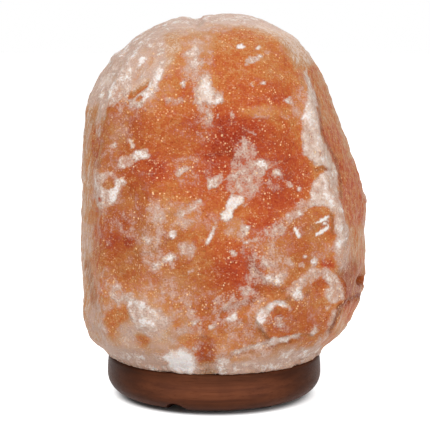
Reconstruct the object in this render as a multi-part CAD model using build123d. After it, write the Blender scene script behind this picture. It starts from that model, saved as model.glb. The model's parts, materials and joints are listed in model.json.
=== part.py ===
"""Salt crystal lamp.

A hewn block of rock salt stands on a turned wooden base. A small screw-cap bulb sits inside a hole
drilled up into the block. Its lampholder hangs on a steel plate that pulls down out of the base on
three spring clips, so that the bulb can be changed.

Millimetres, +Z up. Z = 0 is the table. Every piece is modelled about the turned axis of the base,
and the whole lamp is then moved so that its footprint is centred on the origin. Front is -Y.
"""

from build123d import *
import os
from math import atan2, degrees, hypot, radians, sin, sqrt

# ---------------------------------------------------------------- wooden base and what it stands on
FOOT_THICKNESS = 1.5
FOOT_RADIUS = 6.5
FOOT_CIRCLE = 39.0  # from the lamp's axis to the middle of each foot
FOOT_EDGE = 0.4

BASE_RADIUS = 57.0
BASE_THICKNESS = 20.5
BASE_SIDE_SWELL = 0.7  # how far the turned side bellies out between its edges
BASE_TOP_ROUND = 1.6
BASE_BOTTOM_ROUND = 10.5
RECESS_RADIUS = 31.0
RECESS_DEPTH = 12.0
BULB_HOLE_RADIUS = 24.0

CHANNEL_BEARING = 248.0  # degrees from +X, towards the front left
CHANNEL_CUTTER_RADIUS = 6.5
CHANNEL_DEPTH = 4.5

# ---------------------------------------------------------------- salt block
BLOCK_SET_IN = 0.8  # how far the sawn underside stays inside the base's edge
BLOCK_ROUND_UP_TO = 24.0  # below this height the block is cut rounder, to sit on the round base
BORE_RADIUS = 25.0
BORE_DEPTH = 95.0
BORE_END_ROUND = 12.0
HEWN_DEPTH = 1.5  # how unevenly the block was hewn
# Height above the sawn underside, then the reach from the lamp's axis to the left, right, front and back
BLOCK_LEVELS = [
    (5.0, 62.5, 61.0, 59.5, 58.0),
    (13.0, 69.4, 70.5, 63.0, 60.5),
    (26.0, 70.2, 79.2, 64.5, 61.5),
    (36.0, 70.6, 82.2, 65.5, 63.0),
    (47.0, 70.7, 81.6, 65.3, 64.0),
    (62.0, 70.7, 81.2, 64.8, 63.4),
    (80.0, 70.4, 81.8, 63.5, 63.0),
    (99.0, 70.4, 75.6, 61.5, 62.0),
    (117.0, 69.0, 69.6, 58.5, 61.0),
    (134.0, 67.0, 63.2, 55.0, 57.5),
    (146.0, 61.6, 58.4, 51.0, 54.0),
    (157.5, 53.4, 51.4, 45.5, 49.0),
    (167.5, 42.6, 43.4, 37.5, 41.0),
    (174.5, 30.5, 29.0, 26.0, 29.0),
    (178.2, 18.0, 18.5, 12.0, 14.0),
]
BLOCK_PEAK = (9.0, 0.0, 180.0)
# One level's outline as shares of its reaches, anticlockwise from the left seen from above
BLOCK_OUTLINE = [
    (-1.00, 0.08),
    (-0.97, -0.42),
    (-0.82, -0.78),
    (-0.45, -0.96),
    (0.02, -1.00),
    (0.44, -0.95),
    (0.77, -0.72),  # the ridge at the front right
    (0.93, -0.28),
    (1.00, 0.14),
    (0.93, 0.54),
    (0.70, 0.86),
    (0.28, 0.99),
    (-0.14, 1.00),
    (-0.54, 0.92),
    (-0.84, 0.69),
    (-0.98, 0.38),
]
# Bosses, and hollows where the rise is below 0, that the hewing left: bearing in degrees from +X,
# height above the sawn underside, how far each spreads, and how far it rises
BLOCK_BOSSES = [
    (312.0, 66.0, 34.0, 2.8),  # low at the front right, a boss that stands out most
    (316.0, 32.0, 26.0, 2.0),
    (306.0, 48.0, 16.0, -1.6),
    (284.0, 96.0, 36.0, -1.8),
    (268.0, 50.0, 30.0, -1.4),
    (246.0, 30.0, 30.0, 1.6),
    (248.0, 84.0, 36.0, 1.8),
    (212.0, 60.0, 32.0, -1.6),
    (226.0, 128.0, 32.0, -1.8),
    (262.0, 138.0, 28.0, 1.6),
    (300.0, 132.0, 30.0, 1.4),
    (336.0, 100.0, 32.0, -1.6),
    (342.0, 40.0, 26.0, -1.8),
    (30.0, 70.0, 38.0, 2.0),
    (34.0, 124.0, 34.0, -1.8),
    (62.0, 30.0, 32.0, -1.8),
    (88.0, 96.0, 40.0, 2.2),
    (104.0, 48.0, 32.0, -1.6),
    (124.0, 126.0, 34.0, -2.0),
    (142.0, 70.0, 38.0, 2.0),
    (160.0, 34.0, 28.0, -1.4),
]

# ---------------------------------------------------------------- fixing of the block to the base
SCREW_CIRCLE = 40.0
SCREW_COUNTERBORE_RADIUS = 5.5
SCREW_COUNTERBORE_DEPTH = 7.0
SCREW_HEAD_RADIUS = 4.4
SCREW_HEAD_HEIGHT = 2.6
SCREW_SHANK_RADIUS = 2.0
SCREW_LENGTH = 34.0  # under the head
SCREW_POINT = 4.0
SCREW_HEAD_ROUND = 1.2
SCREW_SLOT_WIDTH = 1.1  # of the cross in the head
SCREW_SLOT_DEPTH = 1.2
SCREW_AFTER_CHANNEL = 30.0  # degrees from the cord channel to the first screw
FOOT_AFTER_CHANNEL = 60.0
SCREW_CLEARANCE = 0.25
PLUG_RADIUS = 3.6
PLUG_LENGTH = 24.0
PLUG_END_ROOM = 1.0
PLUG_SLIT = 1.0
PLUG_CLEARANCE = 0.1

# ---------------------------------------------------------------- lampholder
PLATE_RADIUS = 29.0
PLATE_THICKNESS = 1.0
NECK_RADIUS = 10.2  # the lower cover's neck, which runs up into the body
NECK_WALL = 1.6
FIT_CLEARANCE = 0.15
BODY_RADIUS = 13.0
BODY_RIM_BEVEL = 1.2
BODY_FLANGE_RADIUS = 16.2
BODY_FLANGE_THICKNESS = 3.6
BODY_RIM_PAST_CAP = 1.2  # the body's mouth stands this far above the bulb's cap
COVER_RADIUS = 15.0
COVER_HEIGHT = 9.0  # below the plate
COVER_WALL = 1.8
COVER_BEVEL = 1.5
BLOCK_SEAT = 11.0  # height of the contact block's underside above the plate
CONTACT_BLOCK_HEIGHT = 7.0
COVER_SCREW_CIRCLE = 12.4
COVER_SCREW_RADIUS = 1.25
COVER_SCREW_HEAD_RADIUS = 2.1
COVER_SCREW_HEAD_HEIGHT = 1.5
COVER_SCREW_REACH = 2.8  # into the body's flange
COVER_SCREW_SLOT_WIDTH = 0.6
COVER_SCREW_SLOT_DEPTH = 0.7
COVER_BOSS_RADIUS = 2.9

# ---------------------------------------------------------------- contacts and terminals
SHELL_BELOW_COLLAR = 0.4  # the shell ends this far under the rolled rim of the bulb's cap
SHELL_WALL = 1.5
SHELL_FLOOR = 0.6
SHELL_FLOOR_HOLE = 4.6
TAB_OFFSET = 5.9  # from the axis to each terminal tab
TAB_THICKNESS = 0.7
TAB_WIDTH = 3.6
CONTACT_RISE = 1.4  # height of the sprung tongue above the shell's floor
CONTACT_BEND = 1.4  # length of the bend between tab and tongue
TONGUE_PAST_AXIS = 3.3
TERMINAL_DEPTH = 3.4
TERMINAL_WIDTH = 5.0
TERMINAL_HEIGHT = 5.6
TERMINAL_GAP = 0.1
WIRE_HOLE_RADIUS = 1.1
TERMINAL_SCREW_RADIUS = 1.3
TERMINAL_SCREW_LENGTH = 4.0
TERMINAL_SCREW_STANDS = 0.6  # head height that shows below the terminal
TERMINAL_SCREW_SLOT = 0.5

# ---------------------------------------------------------------- cord gland
GLAND_BORE_RADIUS = 2.9
GLAND_SLEEVE_RADIUS = 3.7
GLAND_COLLAR_RADIUS = 4.3
GLAND_COLLAR_LENGTH = 1.8
GLAND_LENGTH = 6.0
GLAND_BOSS_WALL = 0.9
GLAND_SLOPE = 42.0  # degrees below level, down towards the channel in the base
GLAND_MOUTH_OUT = 2.4  # outside the cover's side
GLAND_MOUTH_RISE = 1.2  # above the cover's underside

# ---------------------------------------------------------------- spring clips
CLIP_COUNT = 3
CLIP_WIDTH = 8.0
CLIP_THICKNESS = 0.7
CLIP_INNER_RADIUS = 17.8  # from the axis to the bend where the leaf turns up from its foot
CLIP_FOOT_LENGTH = 5.2
CLIP_FLEX_GAP = 0.3
CLIP_BUMP_HEIGHT = 6.2  # above the plate
CLIP_BUMP_ROUND = 1.5
CLIP_TIP_HEIGHT = 18.0
CLIP_TIP_DRAWN_IN = 4.0
CLIP_WALL_CLEARANCE = 0.3
RIVET_RADIUS = 1.1
RIVET_HEAD_RADIUS = 1.8
RIVET_HEAD_HEIGHT = 0.7
RIVET_CLEARANCE = 0.05

# ---------------------------------------------------------------- bulb
THREAD_PITCH = 2.82
THREAD_TURNS = 4.5
THREAD_CORE_RADIUS = 6.2
THREAD_CREST = 0.8  # height of the rolled thread over its core
THREAD_WIRE_RADIUS = 0.95
THREAD_CLEARANCE = 0.3
CAP_LENGTH = 18.0
CAP_WALL = 0.6
CAP_COLLAR_RADIUS = 7.3  # the rolled rim that grips the glass
CAP_COLLAR_HEIGHT = 2.4
CAP_EDGE = 0.5
CAP_THREAD_RISE = 2.2  # from the cap's lower edge to the thread's start
INSULATOR_HEIGHT = 2.4
INSULATOR_TIP_RADIUS = 2.8
INSULATOR_TOP_RADIUS = 5.2
TIP_RADIUS = 2.3
TIP_HEIGHT = 1.4
TIP_ROUND = 0.9
GLASS_RADIUS = 12.0
GLASS_WALL = 0.7
GLASS_NECK_CLEARANCE = 0.1
GLASS_NECK_DEPTH = 8.0  # inside the cap
GLASS_NECK_RISE = 1.0  # above the cap, where the glass begins to widen
GLASS_SHOULDER_RISE = 9.0
GLASS_SHOULDER_ROUND = 4.0
GLASS_HEIGHT = 36.0  # above the cap
STEM_RADIUS = 1.9
STEM_RISE = 12.0  # above the cap
STEM_FLARE_HEIGHT = 4.0
FILAMENT_RISE = 19.0  # above the cap
FILAMENT_SPAN = 6.0  # from the axis to each lead
FILAMENT_PEAKS = 3
FILAMENT_PEAK = 3.0
FILAMENT_WIRE = 0.2
LEAD_WIRE = 0.35
LEAD_OFFSET = 0.9
LEAD_RUN = 2.0  # straight up out of the stem
LEAD_SEAT_GAP = 0.05

# ---------------------------------------------------------------- heights that follow
base_low = FOOT_THICKNESS
base_high = base_low + BASE_THICKNESS
plate_high = base_low + RECESS_DEPTH
plate_low = plate_high - PLATE_THICKNESS
block_low = plate_high + BLOCK_SEAT
block_high = block_low + CONTACT_BLOCK_HEIGHT
bulb_low = block_high + SHELL_FLOOR + CONTACT_RISE
insulator_low = bulb_low + TIP_HEIGHT
cap_low = insulator_low + INSULATOR_HEIGHT
cap_high = cap_low + CAP_LENGTH
thread_low = cap_low + CAP_THREAD_RISE
shell_high = cap_high - CAP_COLLAR_HEIGHT - SHELL_BELOW_COLLAR
body_high = cap_high + BODY_RIM_PAST_CAP
cover_low = plate_low - COVER_HEIGHT
gland_mouth = (COVER_RADIUS + GLAND_MOUTH_OUT, cover_low + GLAND_MOUTH_RISE)
shell_inner = THREAD_CORE_RADIUS + THREAD_CLEARANCE
shell_radius = shell_inner + SHELL_WALL
thread_centre = THREAD_CORE_RADIUS + THREAD_CREST - THREAD_WIRE_RADIUS
leaf_low = plate_high + CLIP_THICKNESS + CLIP_FLEX_GAP
bump_radius = sqrt((BULB_HOLE_RADIUS - CLIP_WALL_CLEARANCE) ** 2 - (CLIP_WIDTH / 2) ** 2)
rivet_radius = CLIP_INNER_RADIUS + CLIP_FOOT_LENGTH / 2 + CLIP_THICKNESS / 2
screw_bearing = CHANNEL_BEARING + SCREW_AFTER_CHANNEL
foot_bearing = CHANNEL_BEARING + FOOT_AFTER_CHANNEL
clip_bearing = CHANNEL_BEARING + 180 / CLIP_COUNT
cover_screw_bearing = CHANNEL_BEARING + 90

FROM_BELOW = (Align.CENTER, Align.CENTER, Align.MIN)
CUT_PAST = 1.0  # cutters run this far past the faces that they cut


def disc(radius, low, high):
    """A cylinder on the lamp's axis between two heights."""
    return Pos(0, 0, low) * Cylinder(radius, high - low, align=FROM_BELOW)


def ring(inner, outer, low, high):
    """A flat-ended tube on the lamp's axis."""
    return disc(outer, low, high) - disc(inner, low - CUT_PAST, high + CUT_PAST)


def rod_along(radius, start, end):
    """A cylinder along +X between two distances from the origin."""
    return Pos(start, 0, 0) * Rot(0, 90, 0) * Cylinder(radius, end - start, align=FROM_BELOW)


def turned(points):
    """A solid turned about the lamp's axis from (radius, height) corners."""
    outline = Polyline(*[(r, 0, z) for r, z in points], close=True)
    return revolve(make_face(outline), Axis.Z)


def around(shape, bearing, radius=0.0):
    """The shape swung to a bearing, after a move out along +X."""
    return Rot(0, 0, bearing) * Pos(radius, 0, 0) * shape


def spaced(shape, radius, first, count=3):
    """Equal copies round the lamp's axis, as separate solids."""
    return [around(shape, first + k * 360 / count, radius) for k in range(count)]


# ---------------------------------------------------------------- wooden base
def wooden_base():
    """One disc turned from a plank: bellied side, rounded edges, stepped hole and cord channel."""
    middle = (base_low + base_high) / 2
    edge = BASE_RADIUS - BASE_SIDE_SWELL
    top = Line((0, 0, base_high), (edge, 0, base_high))
    side = ThreePointArc((edge, 0, base_high), (BASE_RADIUS, 0, middle), (edge, 0, base_low))
    bottom = Polyline((edge, 0, base_low), (0, 0, base_low), (0, 0, base_high))
    profile = make_face([top, side, bottom])
    body = revolve(profile, Axis.Z)
    rims = body.edges().filter_by(GeomType.CIRCLE).sort_by(Axis.Z)
    body = fillet(rims[-1], BASE_TOP_ROUND)
    rims = body.edges().filter_by(GeomType.CIRCLE).sort_by(Axis.Z)
    body = fillet(rims[0], BASE_BOTTOM_ROUND)

    body -= disc(BULB_HOLE_RADIUS, base_low - CUT_PAST, base_high + CUT_PAST)
    body -= disc(RECESS_RADIUS, base_low - CUT_PAST, plate_high)
    channel = rod_along(CHANNEL_CUTTER_RADIUS, 0, BASE_RADIUS + CUT_PAST)
    channel_height = base_low + CHANNEL_DEPTH - CHANNEL_CUTTER_RADIUS
    body -= around(Pos(0, 0, channel_height) * channel, CHANNEL_BEARING)
    seat = disc(SCREW_COUNTERBORE_RADIUS, base_low - CUT_PAST, base_low + SCREW_COUNTERBORE_DEPTH)
    hole = disc(SCREW_SHANK_RADIUS + SCREW_CLEARANCE, base_low, base_high + CUT_PAST)
    for cut in spaced(seat + hole, SCREW_CIRCLE, screw_bearing):
        body -= cut
    return body


def rubber_feet():
    """Three stick-on pads between the screws and the cord channel."""
    pad = chamfer(disc(FOOT_RADIUS, 0, FOOT_THICKNESS).edges().sort_by(Axis.Z)[0], FOOT_EDGE)
    return spaced(pad, FOOT_CIRCLE, foot_bearing)


# ---------------------------------------------------------------- salt block
def boss_rise(x, y, height):
    """How far the bosses and hollows near this place of the block carry it outward."""
    reach = hypot(x, y)
    rise = 0.0
    for bearing, middle, spread, boss in BLOCK_BOSSES:
        turn = (degrees(atan2(y, x)) - bearing + 180) % 360 - 180
        away = hypot(radians(turn) * reach, height - middle)
        rise += boss * max(0.0, 1 - (away / spread) ** 2)
    return rise


def level_points(index, height, left, right, front, back):
    """Corners of one level. Every corner but the outermost ones is set back a little, unevenly."""
    points = []
    squareness = min(1.0, height / BLOCK_ROUND_UP_TO)
    for corner, (across, deep) in enumerate(BLOCK_OUTLINE):
        uneven = 0.5 - 0.5 * sin(2.4 * corner + 1.9 * index)
        keep = 1 - HEWN_DEPTH * uneven / max(left, right)
        if max(abs(across), abs(deep)) >= 1.0:
            keep = 1.0
        keep *= squareness + (1 - squareness) / hypot(across, deep)
        x = across * keep * (right if across > 0 else left)
        y = deep * keep * (back if deep > 0 else front)
        carry = 1 + boss_rise(x, y, height) / hypot(x, y)
        points.append(Vector(x * carry, y * carry, base_high + height))
    return points


def hewn_block():
    """A closed body of flat faces, two between each pair of neighbouring corners on two levels."""
    foot = BASE_RADIUS - BLOCK_SET_IN
    foot_level = (0.0, foot, foot, foot, foot)
    levels = [level_points(k, *row) for k, row in enumerate([foot_level, *BLOCK_LEVELS])]
    peak = Vector(BLOCK_PEAK[0], BLOCK_PEAK[1], base_high + BLOCK_PEAK[2])
    sides = len(BLOCK_OUTLINE)
    faces = [Face(Wire.make_polygon(levels[0], close=True))]
    for k in range(len(levels) - 1):
        low, high = levels[k], levels[k + 1]
        for i in range(sides):
            j = (i + 1) % sides
            if (i + k) % 2:
                corners = [(low[i], low[j], high[j]), (low[i], high[j], high[i])]
            else:
                corners = [(low[i], low[j], high[i]), (low[j], high[j], high[i])]
            faces += [Face(Wire.make_polygon(c, close=True)) for c in corners]
    for i in range(sides):
        j = (i + 1) % sides
        faces.append(Face(Wire.make_polygon([levels[-1][i], levels[-1][j], peak], close=True)))
    return Solid(Shell(faces)), levels


def salt_crystal(block):
    """The hewn block with the hole for the bulb and three blind holes for the plugs."""
    bore = disc(BORE_RADIUS, base_high - CUT_PAST, base_high + BORE_DEPTH)
    bore = fillet(bore.edges().sort_by(Axis.Z)[-1], BORE_END_ROUND)
    plug_top = base_high + PLUG_LENGTH + PLUG_END_ROOM
    plug_hole = disc(PLUG_RADIUS + PLUG_CLEARANCE, base_high - CUT_PAST, plug_top)
    for cut in [bore, *spaced(plug_hole, SCREW_CIRCLE, screw_bearing)]:
        block -= cut
    return block


# ---------------------------------------------------------------- fixing of the block to the base
def base_screws():
    """Pan-head screws up through the base, each with a cross slot in its head."""
    head_low = base_low + SCREW_COUNTERBORE_DEPTH - SCREW_HEAD_HEIGHT
    head_high = head_low + SCREW_HEAD_HEIGHT
    tip = head_high + SCREW_LENGTH
    head = fillet(disc(SCREW_HEAD_RADIUS, head_low, head_high).edges().sort_by(Axis.Z)[0], SCREW_HEAD_ROUND)
    shank_low = (head_low + head_high) / 2
    shank = turned([
        (0, shank_low),
        (SCREW_SHANK_RADIUS, shank_low),
        (SCREW_SHANK_RADIUS, tip - SCREW_POINT),
        (0, tip),
    ])
    for turn in (0, 90):
        slot = Box(SCREW_HEAD_RADIUS * 1.3, SCREW_SLOT_WIDTH, 2 * SCREW_SLOT_DEPTH)
        head -= Pos(0, 0, head_low) * Rot(0, 0, turn) * slot
    return spaced(head + shank, SCREW_CIRCLE, screw_bearing)


def salt_plugs():
    """Slit nylon plugs that the screws open inside the salt."""
    plug = ring(SCREW_SHANK_RADIUS + PLUG_CLEARANCE, PLUG_RADIUS, base_high, base_high + PLUG_LENGTH)
    slit = Pos(0, 0, base_high + PLUG_LENGTH) * Box(3 * PLUG_RADIUS, PLUG_SLIT, PLUG_LENGTH)
    return spaced(plug - slit, SCREW_CIRCLE, screw_bearing)


# ---------------------------------------------------------------- lampholder
def clip_plate():
    """Steel disc that closes the base's hole, with holes for the neck, the rivets and two screws."""
    plate = ring(NECK_RADIUS + FIT_CLEARANCE, PLATE_RADIUS, plate_low, plate_high)
    rivet_hole = disc(RIVET_RADIUS + RIVET_CLEARANCE, plate_low - CUT_PAST, plate_high + CUT_PAST)
    screw_hole = disc(COVER_SCREW_RADIUS + FIT_CLEARANCE, plate_low - CUT_PAST, plate_high + CUT_PAST)
    for cut in spaced(rivet_hole, rivet_radius, clip_bearing, CLIP_COUNT):
        plate -= cut
    for cut in spaced(screw_hole, COVER_SCREW_CIRCLE, cover_screw_bearing, 2):
        plate -= cut
    return plate


def clip_feet():
    """The flat ends of the spring clips, riveted down on the plate."""
    foot = Pos(CLIP_INNER_RADIUS, 0, plate_high) * Box(
        CLIP_FOOT_LENGTH, CLIP_WIDTH, CLIP_THICKNESS, align=(Align.MIN, Align.CENTER, Align.MIN)
    )
    foot -= Pos(rivet_radius, 0, plate_high) * Cylinder(RIVET_RADIUS + RIVET_CLEARANCE, 3 * CLIP_THICKNESS)
    return spaced(foot, 0, clip_bearing, CLIP_COUNT)


def clip_rivets():
    """Rivets through each clip's foot and the plate, with a low head on both sides."""
    foot_top = plate_high + CLIP_THICKNESS
    rivet = disc(RIVET_RADIUS, plate_low - RIVET_HEAD_HEIGHT, foot_top + RIVET_HEAD_HEIGHT)
    rivet += disc(RIVET_HEAD_RADIUS, foot_top, foot_top + RIVET_HEAD_HEIGHT)
    rivet += disc(RIVET_HEAD_RADIUS, plate_low - RIVET_HEAD_HEIGHT, plate_low)
    rims = rivet.edges().filter_by(GeomType.CIRCLE).sort_by(Axis.Z)
    return spaced(fillet([rims[0], rims[-1]], RIVET_HEAD_HEIGHT / 2), rivet_radius, clip_bearing, CLIP_COUNT)


def spring_clip():
    """One sprung leaf: up from its foot, out to a bump that grips the base's hole, then back in."""
    bump_high = plate_high + CLIP_BUMP_HEIGHT
    inner = [
        (CLIP_INNER_RADIUS, leaf_low),
        (bump_radius - CLIP_THICKNESS, bump_high),
        (bump_radius - CLIP_THICKNESS - CLIP_TIP_DRAWN_IN, plate_high + CLIP_TIP_HEIGHT),
    ]
    outer = [(r + CLIP_THICKNESS, z) for r, z in inner]
    outline = Polyline(*[(r, 0, z) for r, z in outer + inner[::-1]], close=True)
    leaf = extrude(make_face(outline), CLIP_WIDTH / 2, dir=(0, 1, 0), both=True)
    bumps = leaf.edges().filter_by(Axis.Y).filter_by_position(Axis.Z, bump_high - 0.1, bump_high + 0.1)
    return fillet(bumps, CLIP_BUMP_ROUND)


def holder_body():
    """Moulded body: a flange on the plate, a chamber for the contact block, a socket for the shell."""
    chamber = NECK_RADIUS + FIT_CLEARANCE
    socket = shell_radius + FIT_CLEARANCE
    body = turned([
        (chamber, plate_high),
        (BODY_FLANGE_RADIUS, plate_high),
        (BODY_FLANGE_RADIUS, plate_high + BODY_FLANGE_THICKNESS),
        (BODY_RADIUS, plate_high + BODY_FLANGE_THICKNESS),
        (BODY_RADIUS, body_high - BODY_RIM_BEVEL),
        (BODY_RADIUS - BODY_RIM_BEVEL, body_high),
        (socket, body_high),
        (socket, block_high),
        (chamber, block_high),
    ])
    hole = disc(COVER_SCREW_RADIUS, plate_high - CUT_PAST, plate_high + COVER_SCREW_REACH)
    for cut in spaced(hole, COVER_SCREW_CIRCLE, cover_screw_bearing, 2):
        body -= cut
    return body


def gland_place(shape):
    """The shape, drawn back along -X from the gland's mouth, in the gland's place."""
    out, height = gland_mouth
    return around(Pos(out, 0, height) * Rot(0, GLAND_SLOPE, 0) * shape, CHANNEL_BEARING)


def holder_cover():
    """Moulded lower cover. Its neck holds the contact block up, and its side takes the gland."""
    inside = NECK_RADIUS - NECK_WALL
    cover = turned([
        (0, cover_low),
        (COVER_RADIUS - COVER_BEVEL, cover_low),
        (COVER_RADIUS, cover_low + COVER_BEVEL),
        (COVER_RADIUS, plate_low),
        (NECK_RADIUS, plate_low),
        (NECK_RADIUS, block_low),
        (inside, block_low),
        (inside, plate_low - COVER_WALL),
        (COVER_RADIUS - COVER_WALL, plate_low - COVER_WALL),
        (COVER_RADIUS - COVER_WALL, cover_low + COVER_WALL),
        (0, cover_low + COVER_WALL),
    ])
    head_top = cover_low + COVER_SCREW_HEAD_HEIGHT
    boss = disc(COVER_BOSS_RADIUS, cover_low, plate_low)
    seat = disc(COVER_SCREW_HEAD_RADIUS + FIT_CLEARANCE, cover_low - CUT_PAST, head_top)
    hole = disc(COVER_SCREW_RADIUS + FIT_CLEARANCE, cover_low, plate_low + CUT_PAST)
    outside = disc(COVER_RADIUS - COVER_BEVEL / 2, cover_low, plate_low)
    for post in spaced(boss, COVER_SCREW_CIRCLE, cover_screw_bearing, 2):
        cover += post & outside
    for cut in spaced(seat + hole, COVER_SCREW_CIRCLE, cover_screw_bearing, 2):
        cover -= cut
    hole_radius = GLAND_SLEEVE_RADIUS + FIT_CLEARANCE
    cover += gland_place(rod_along(hole_radius + GLAND_BOSS_WALL, -GLAND_LENGTH, -GLAND_COLLAR_LENGTH))
    cover -= gland_place(rod_along(hole_radius, -GLAND_LENGTH - 2 * CUT_PAST, 0))
    return cover


def cover_screws():
    """Two screws from below through the cover and the plate into the body's flange."""
    screw = disc(COVER_SCREW_HEAD_RADIUS, cover_low, cover_low + COVER_SCREW_HEAD_HEIGHT)
    screw += disc(COVER_SCREW_RADIUS, cover_low, plate_high + COVER_SCREW_REACH)
    slot = Box(3 * COVER_SCREW_HEAD_RADIUS, COVER_SCREW_SLOT_WIDTH, 2 * COVER_SCREW_SLOT_DEPTH)
    screw -= Pos(0, 0, cover_low) * slot
    return spaced(screw, COVER_SCREW_CIRCLE, cover_screw_bearing, 2)


def cord_gland():
    """Bush with a collar that lines the cord's way into the cover."""
    sleeve = rod_along(GLAND_SLEEVE_RADIUS, -GLAND_LENGTH, -GLAND_COLLAR_LENGTH / 2)
    collar = rod_along(GLAND_COLLAR_RADIUS, -GLAND_COLLAR_LENGTH, 0)
    bore = rod_along(GLAND_BORE_RADIUS, -GLAND_LENGTH - CUT_PAST, CUT_PAST)
    return gland_place(sleeve + collar - bore)


# ---------------------------------------------------------------- contacts and terminals
def tab_slot(side):
    """The strip of space that a terminal tab takes through the contact block."""
    size = (TAB_THICKNESS + 2 * FIT_CLEARANCE, TAB_WIDTH + 2 * FIT_CLEARANCE, 3 * CONTACT_BLOCK_HEIGHT)
    return Pos(side * TAB_OFFSET, 0, block_low) * Box(*size)


def contact_block():
    """Fired disc that carries both contacts, clamped between the body's shoulder and the neck."""
    block = disc(NECK_RADIUS, block_low, block_high)
    return block - tab_slot(-1) - tab_slot(1)


def tab(side, top):
    """A terminal tab from the terminals up to a contact's underside."""
    low = block_low - TERMINAL_HEIGHT + TERMINAL_GAP
    size = (TAB_THICKNESS, TAB_WIDTH, top - low)
    return Pos(side * TAB_OFFSET, 0, low) * Box(*size, align=FROM_BELOW)


def thread(wire_radius, turns):
    """A rolled thread: a round section swept along the bulb's helix."""
    path = Pos(0, 0, thread_low) * Helix(THREAD_PITCH, THREAD_PITCH * turns, thread_centre)
    section = Plane(origin=path @ 0, z_dir=path % 0) * Circle(wire_radius)
    return sweep(section, path, is_frenet=True)


def screw_shell():
    """Threaded brass shell with a floor, notched for the tongue, and its terminal tab."""
    groove_turns = (shell_high - thread_low) / THREAD_PITCH + 1
    inside = disc(shell_inner, block_high - CUT_PAST, shell_high + 2 * THREAD_PITCH)
    inside += thread(THREAD_WIRE_RADIUS + THREAD_CLEARANCE, groove_turns)
    shell = disc(shell_radius, block_high, shell_high) - inside
    floor = ring(SHELL_FLOOR_HOLE, shell_radius, block_high, block_high + SHELL_FLOOR)
    notch_width = TAB_WIDTH + 4 * FIT_CLEARANCE
    notch = Pos(0, 0, block_high) * Box(
        shell_inner, notch_width, 3 * SHELL_FLOOR, align=(Align.MAX, Align.CENTER, Align.CENTER)
    )
    return shell + (floor - notch) + tab(1, block_high + SHELL_FLOOR / 2)


def centre_contact():
    """Sprung tongue that the bulb's tip presses on, with its terminal tab."""
    reach = block_high + SHELL_FLOOR + CONTACT_RISE
    left = -TAB_OFFSET - TAB_THICKNESS / 2
    right = -TAB_OFFSET + TAB_THICKNESS / 2
    outline = Polyline(
        (left, 0, block_low),
        (left, 0, reach - TAB_THICKNESS),
        (left + CONTACT_BEND, 0, reach),
        (TONGUE_PAST_AXIS, 0, reach),
        (TONGUE_PAST_AXIS, 0, reach - TAB_THICKNESS),
        (right + CONTACT_BEND, 0, reach - TAB_THICKNESS),
        (right, 0, reach - 2 * TAB_THICKNESS),
        (right, 0, block_low),
        close=True,
    )
    tongue = extrude(make_face(outline), TAB_WIDTH / 2, dir=(0, 1, 0), both=True)
    return tongue + tab(-1, block_low + TERMINAL_GAP)


def terminal_place(shape, side):
    """The shape, drawn at the origin, beside the inner face of one tab under the contact block."""
    out = TAB_OFFSET - TAB_THICKNESS / 2 - TERMINAL_GAP - TERMINAL_DEPTH / 2
    return Pos(side * out, 0, block_low - TERMINAL_GAP - TERMINAL_HEIGHT / 2) * shape


def terminals():
    """Two brass blocks beside the tabs, each drilled across for a wire and up for its screw."""
    block = Box(TERMINAL_DEPTH, TERMINAL_WIDTH, TERMINAL_HEIGHT)
    block -= Rot(90, 0, 0) * Cylinder(WIRE_HOLE_RADIUS, 2 * TERMINAL_WIDTH)
    block -= Cylinder(TERMINAL_SCREW_RADIUS + RIVET_CLEARANCE, 2 * TERMINAL_HEIGHT)
    return [terminal_place(block, side) for side in (-1, 1)]


def terminal_screws():
    """Slotted screws that run up into the terminals from below."""
    foot = -TERMINAL_HEIGHT / 2 - TERMINAL_SCREW_STANDS
    screw = Pos(0, 0, foot) * Cylinder(TERMINAL_SCREW_RADIUS, TERMINAL_SCREW_LENGTH, align=FROM_BELOW)
    slot = Box(3 * TERMINAL_SCREW_RADIUS, TERMINAL_SCREW_SLOT, 2 * TERMINAL_SCREW_SLOT)
    screw -= Pos(0, 0, foot) * slot
    return [terminal_place(screw, side) for side in (-1, 1)]


# ---------------------------------------------------------------- bulb
def bulb_tip():
    """Solder button at the bulb's foot."""
    button = disc(TIP_RADIUS, bulb_low, insulator_low)
    return fillet(button.edges().sort_by(Axis.Z)[0], TIP_ROUND)


def bulb_insulator():
    """Black glass cone between the tip and the cap."""
    return turned([
        (0, insulator_low),
        (INSULATOR_TIP_RADIUS, insulator_low),
        (INSULATOR_TOP_RADIUS, cap_low),
        (0, cap_low),
    ])


def bulb_cap():
    """Thin brass cap with a rolled thread and a rolled rim."""
    inner = THREAD_CORE_RADIUS - CAP_WALL
    collar_low = cap_high - CAP_COLLAR_HEIGHT
    cap = turned([
        (TIP_RADIUS, cap_low),
        (inner, cap_low),
        (THREAD_CORE_RADIUS, cap_low + CAP_WALL),
        (THREAD_CORE_RADIUS, collar_low),
        (CAP_COLLAR_RADIUS, collar_low + CAP_EDGE),
        (CAP_COLLAR_RADIUS, cap_high - CAP_EDGE),
        (CAP_COLLAR_RADIUS - CAP_EDGE, cap_high),
        (inner, cap_high),
        (inner, cap_low + CAP_WALL),
        (TIP_RADIUS, cap_low + CAP_WALL),
    ])
    ridge = thread(THREAD_WIRE_RADIUS, THREAD_TURNS) - disc(inner + CAP_WALL / 2, cap_low, cap_high)
    return cap + ridge


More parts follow.
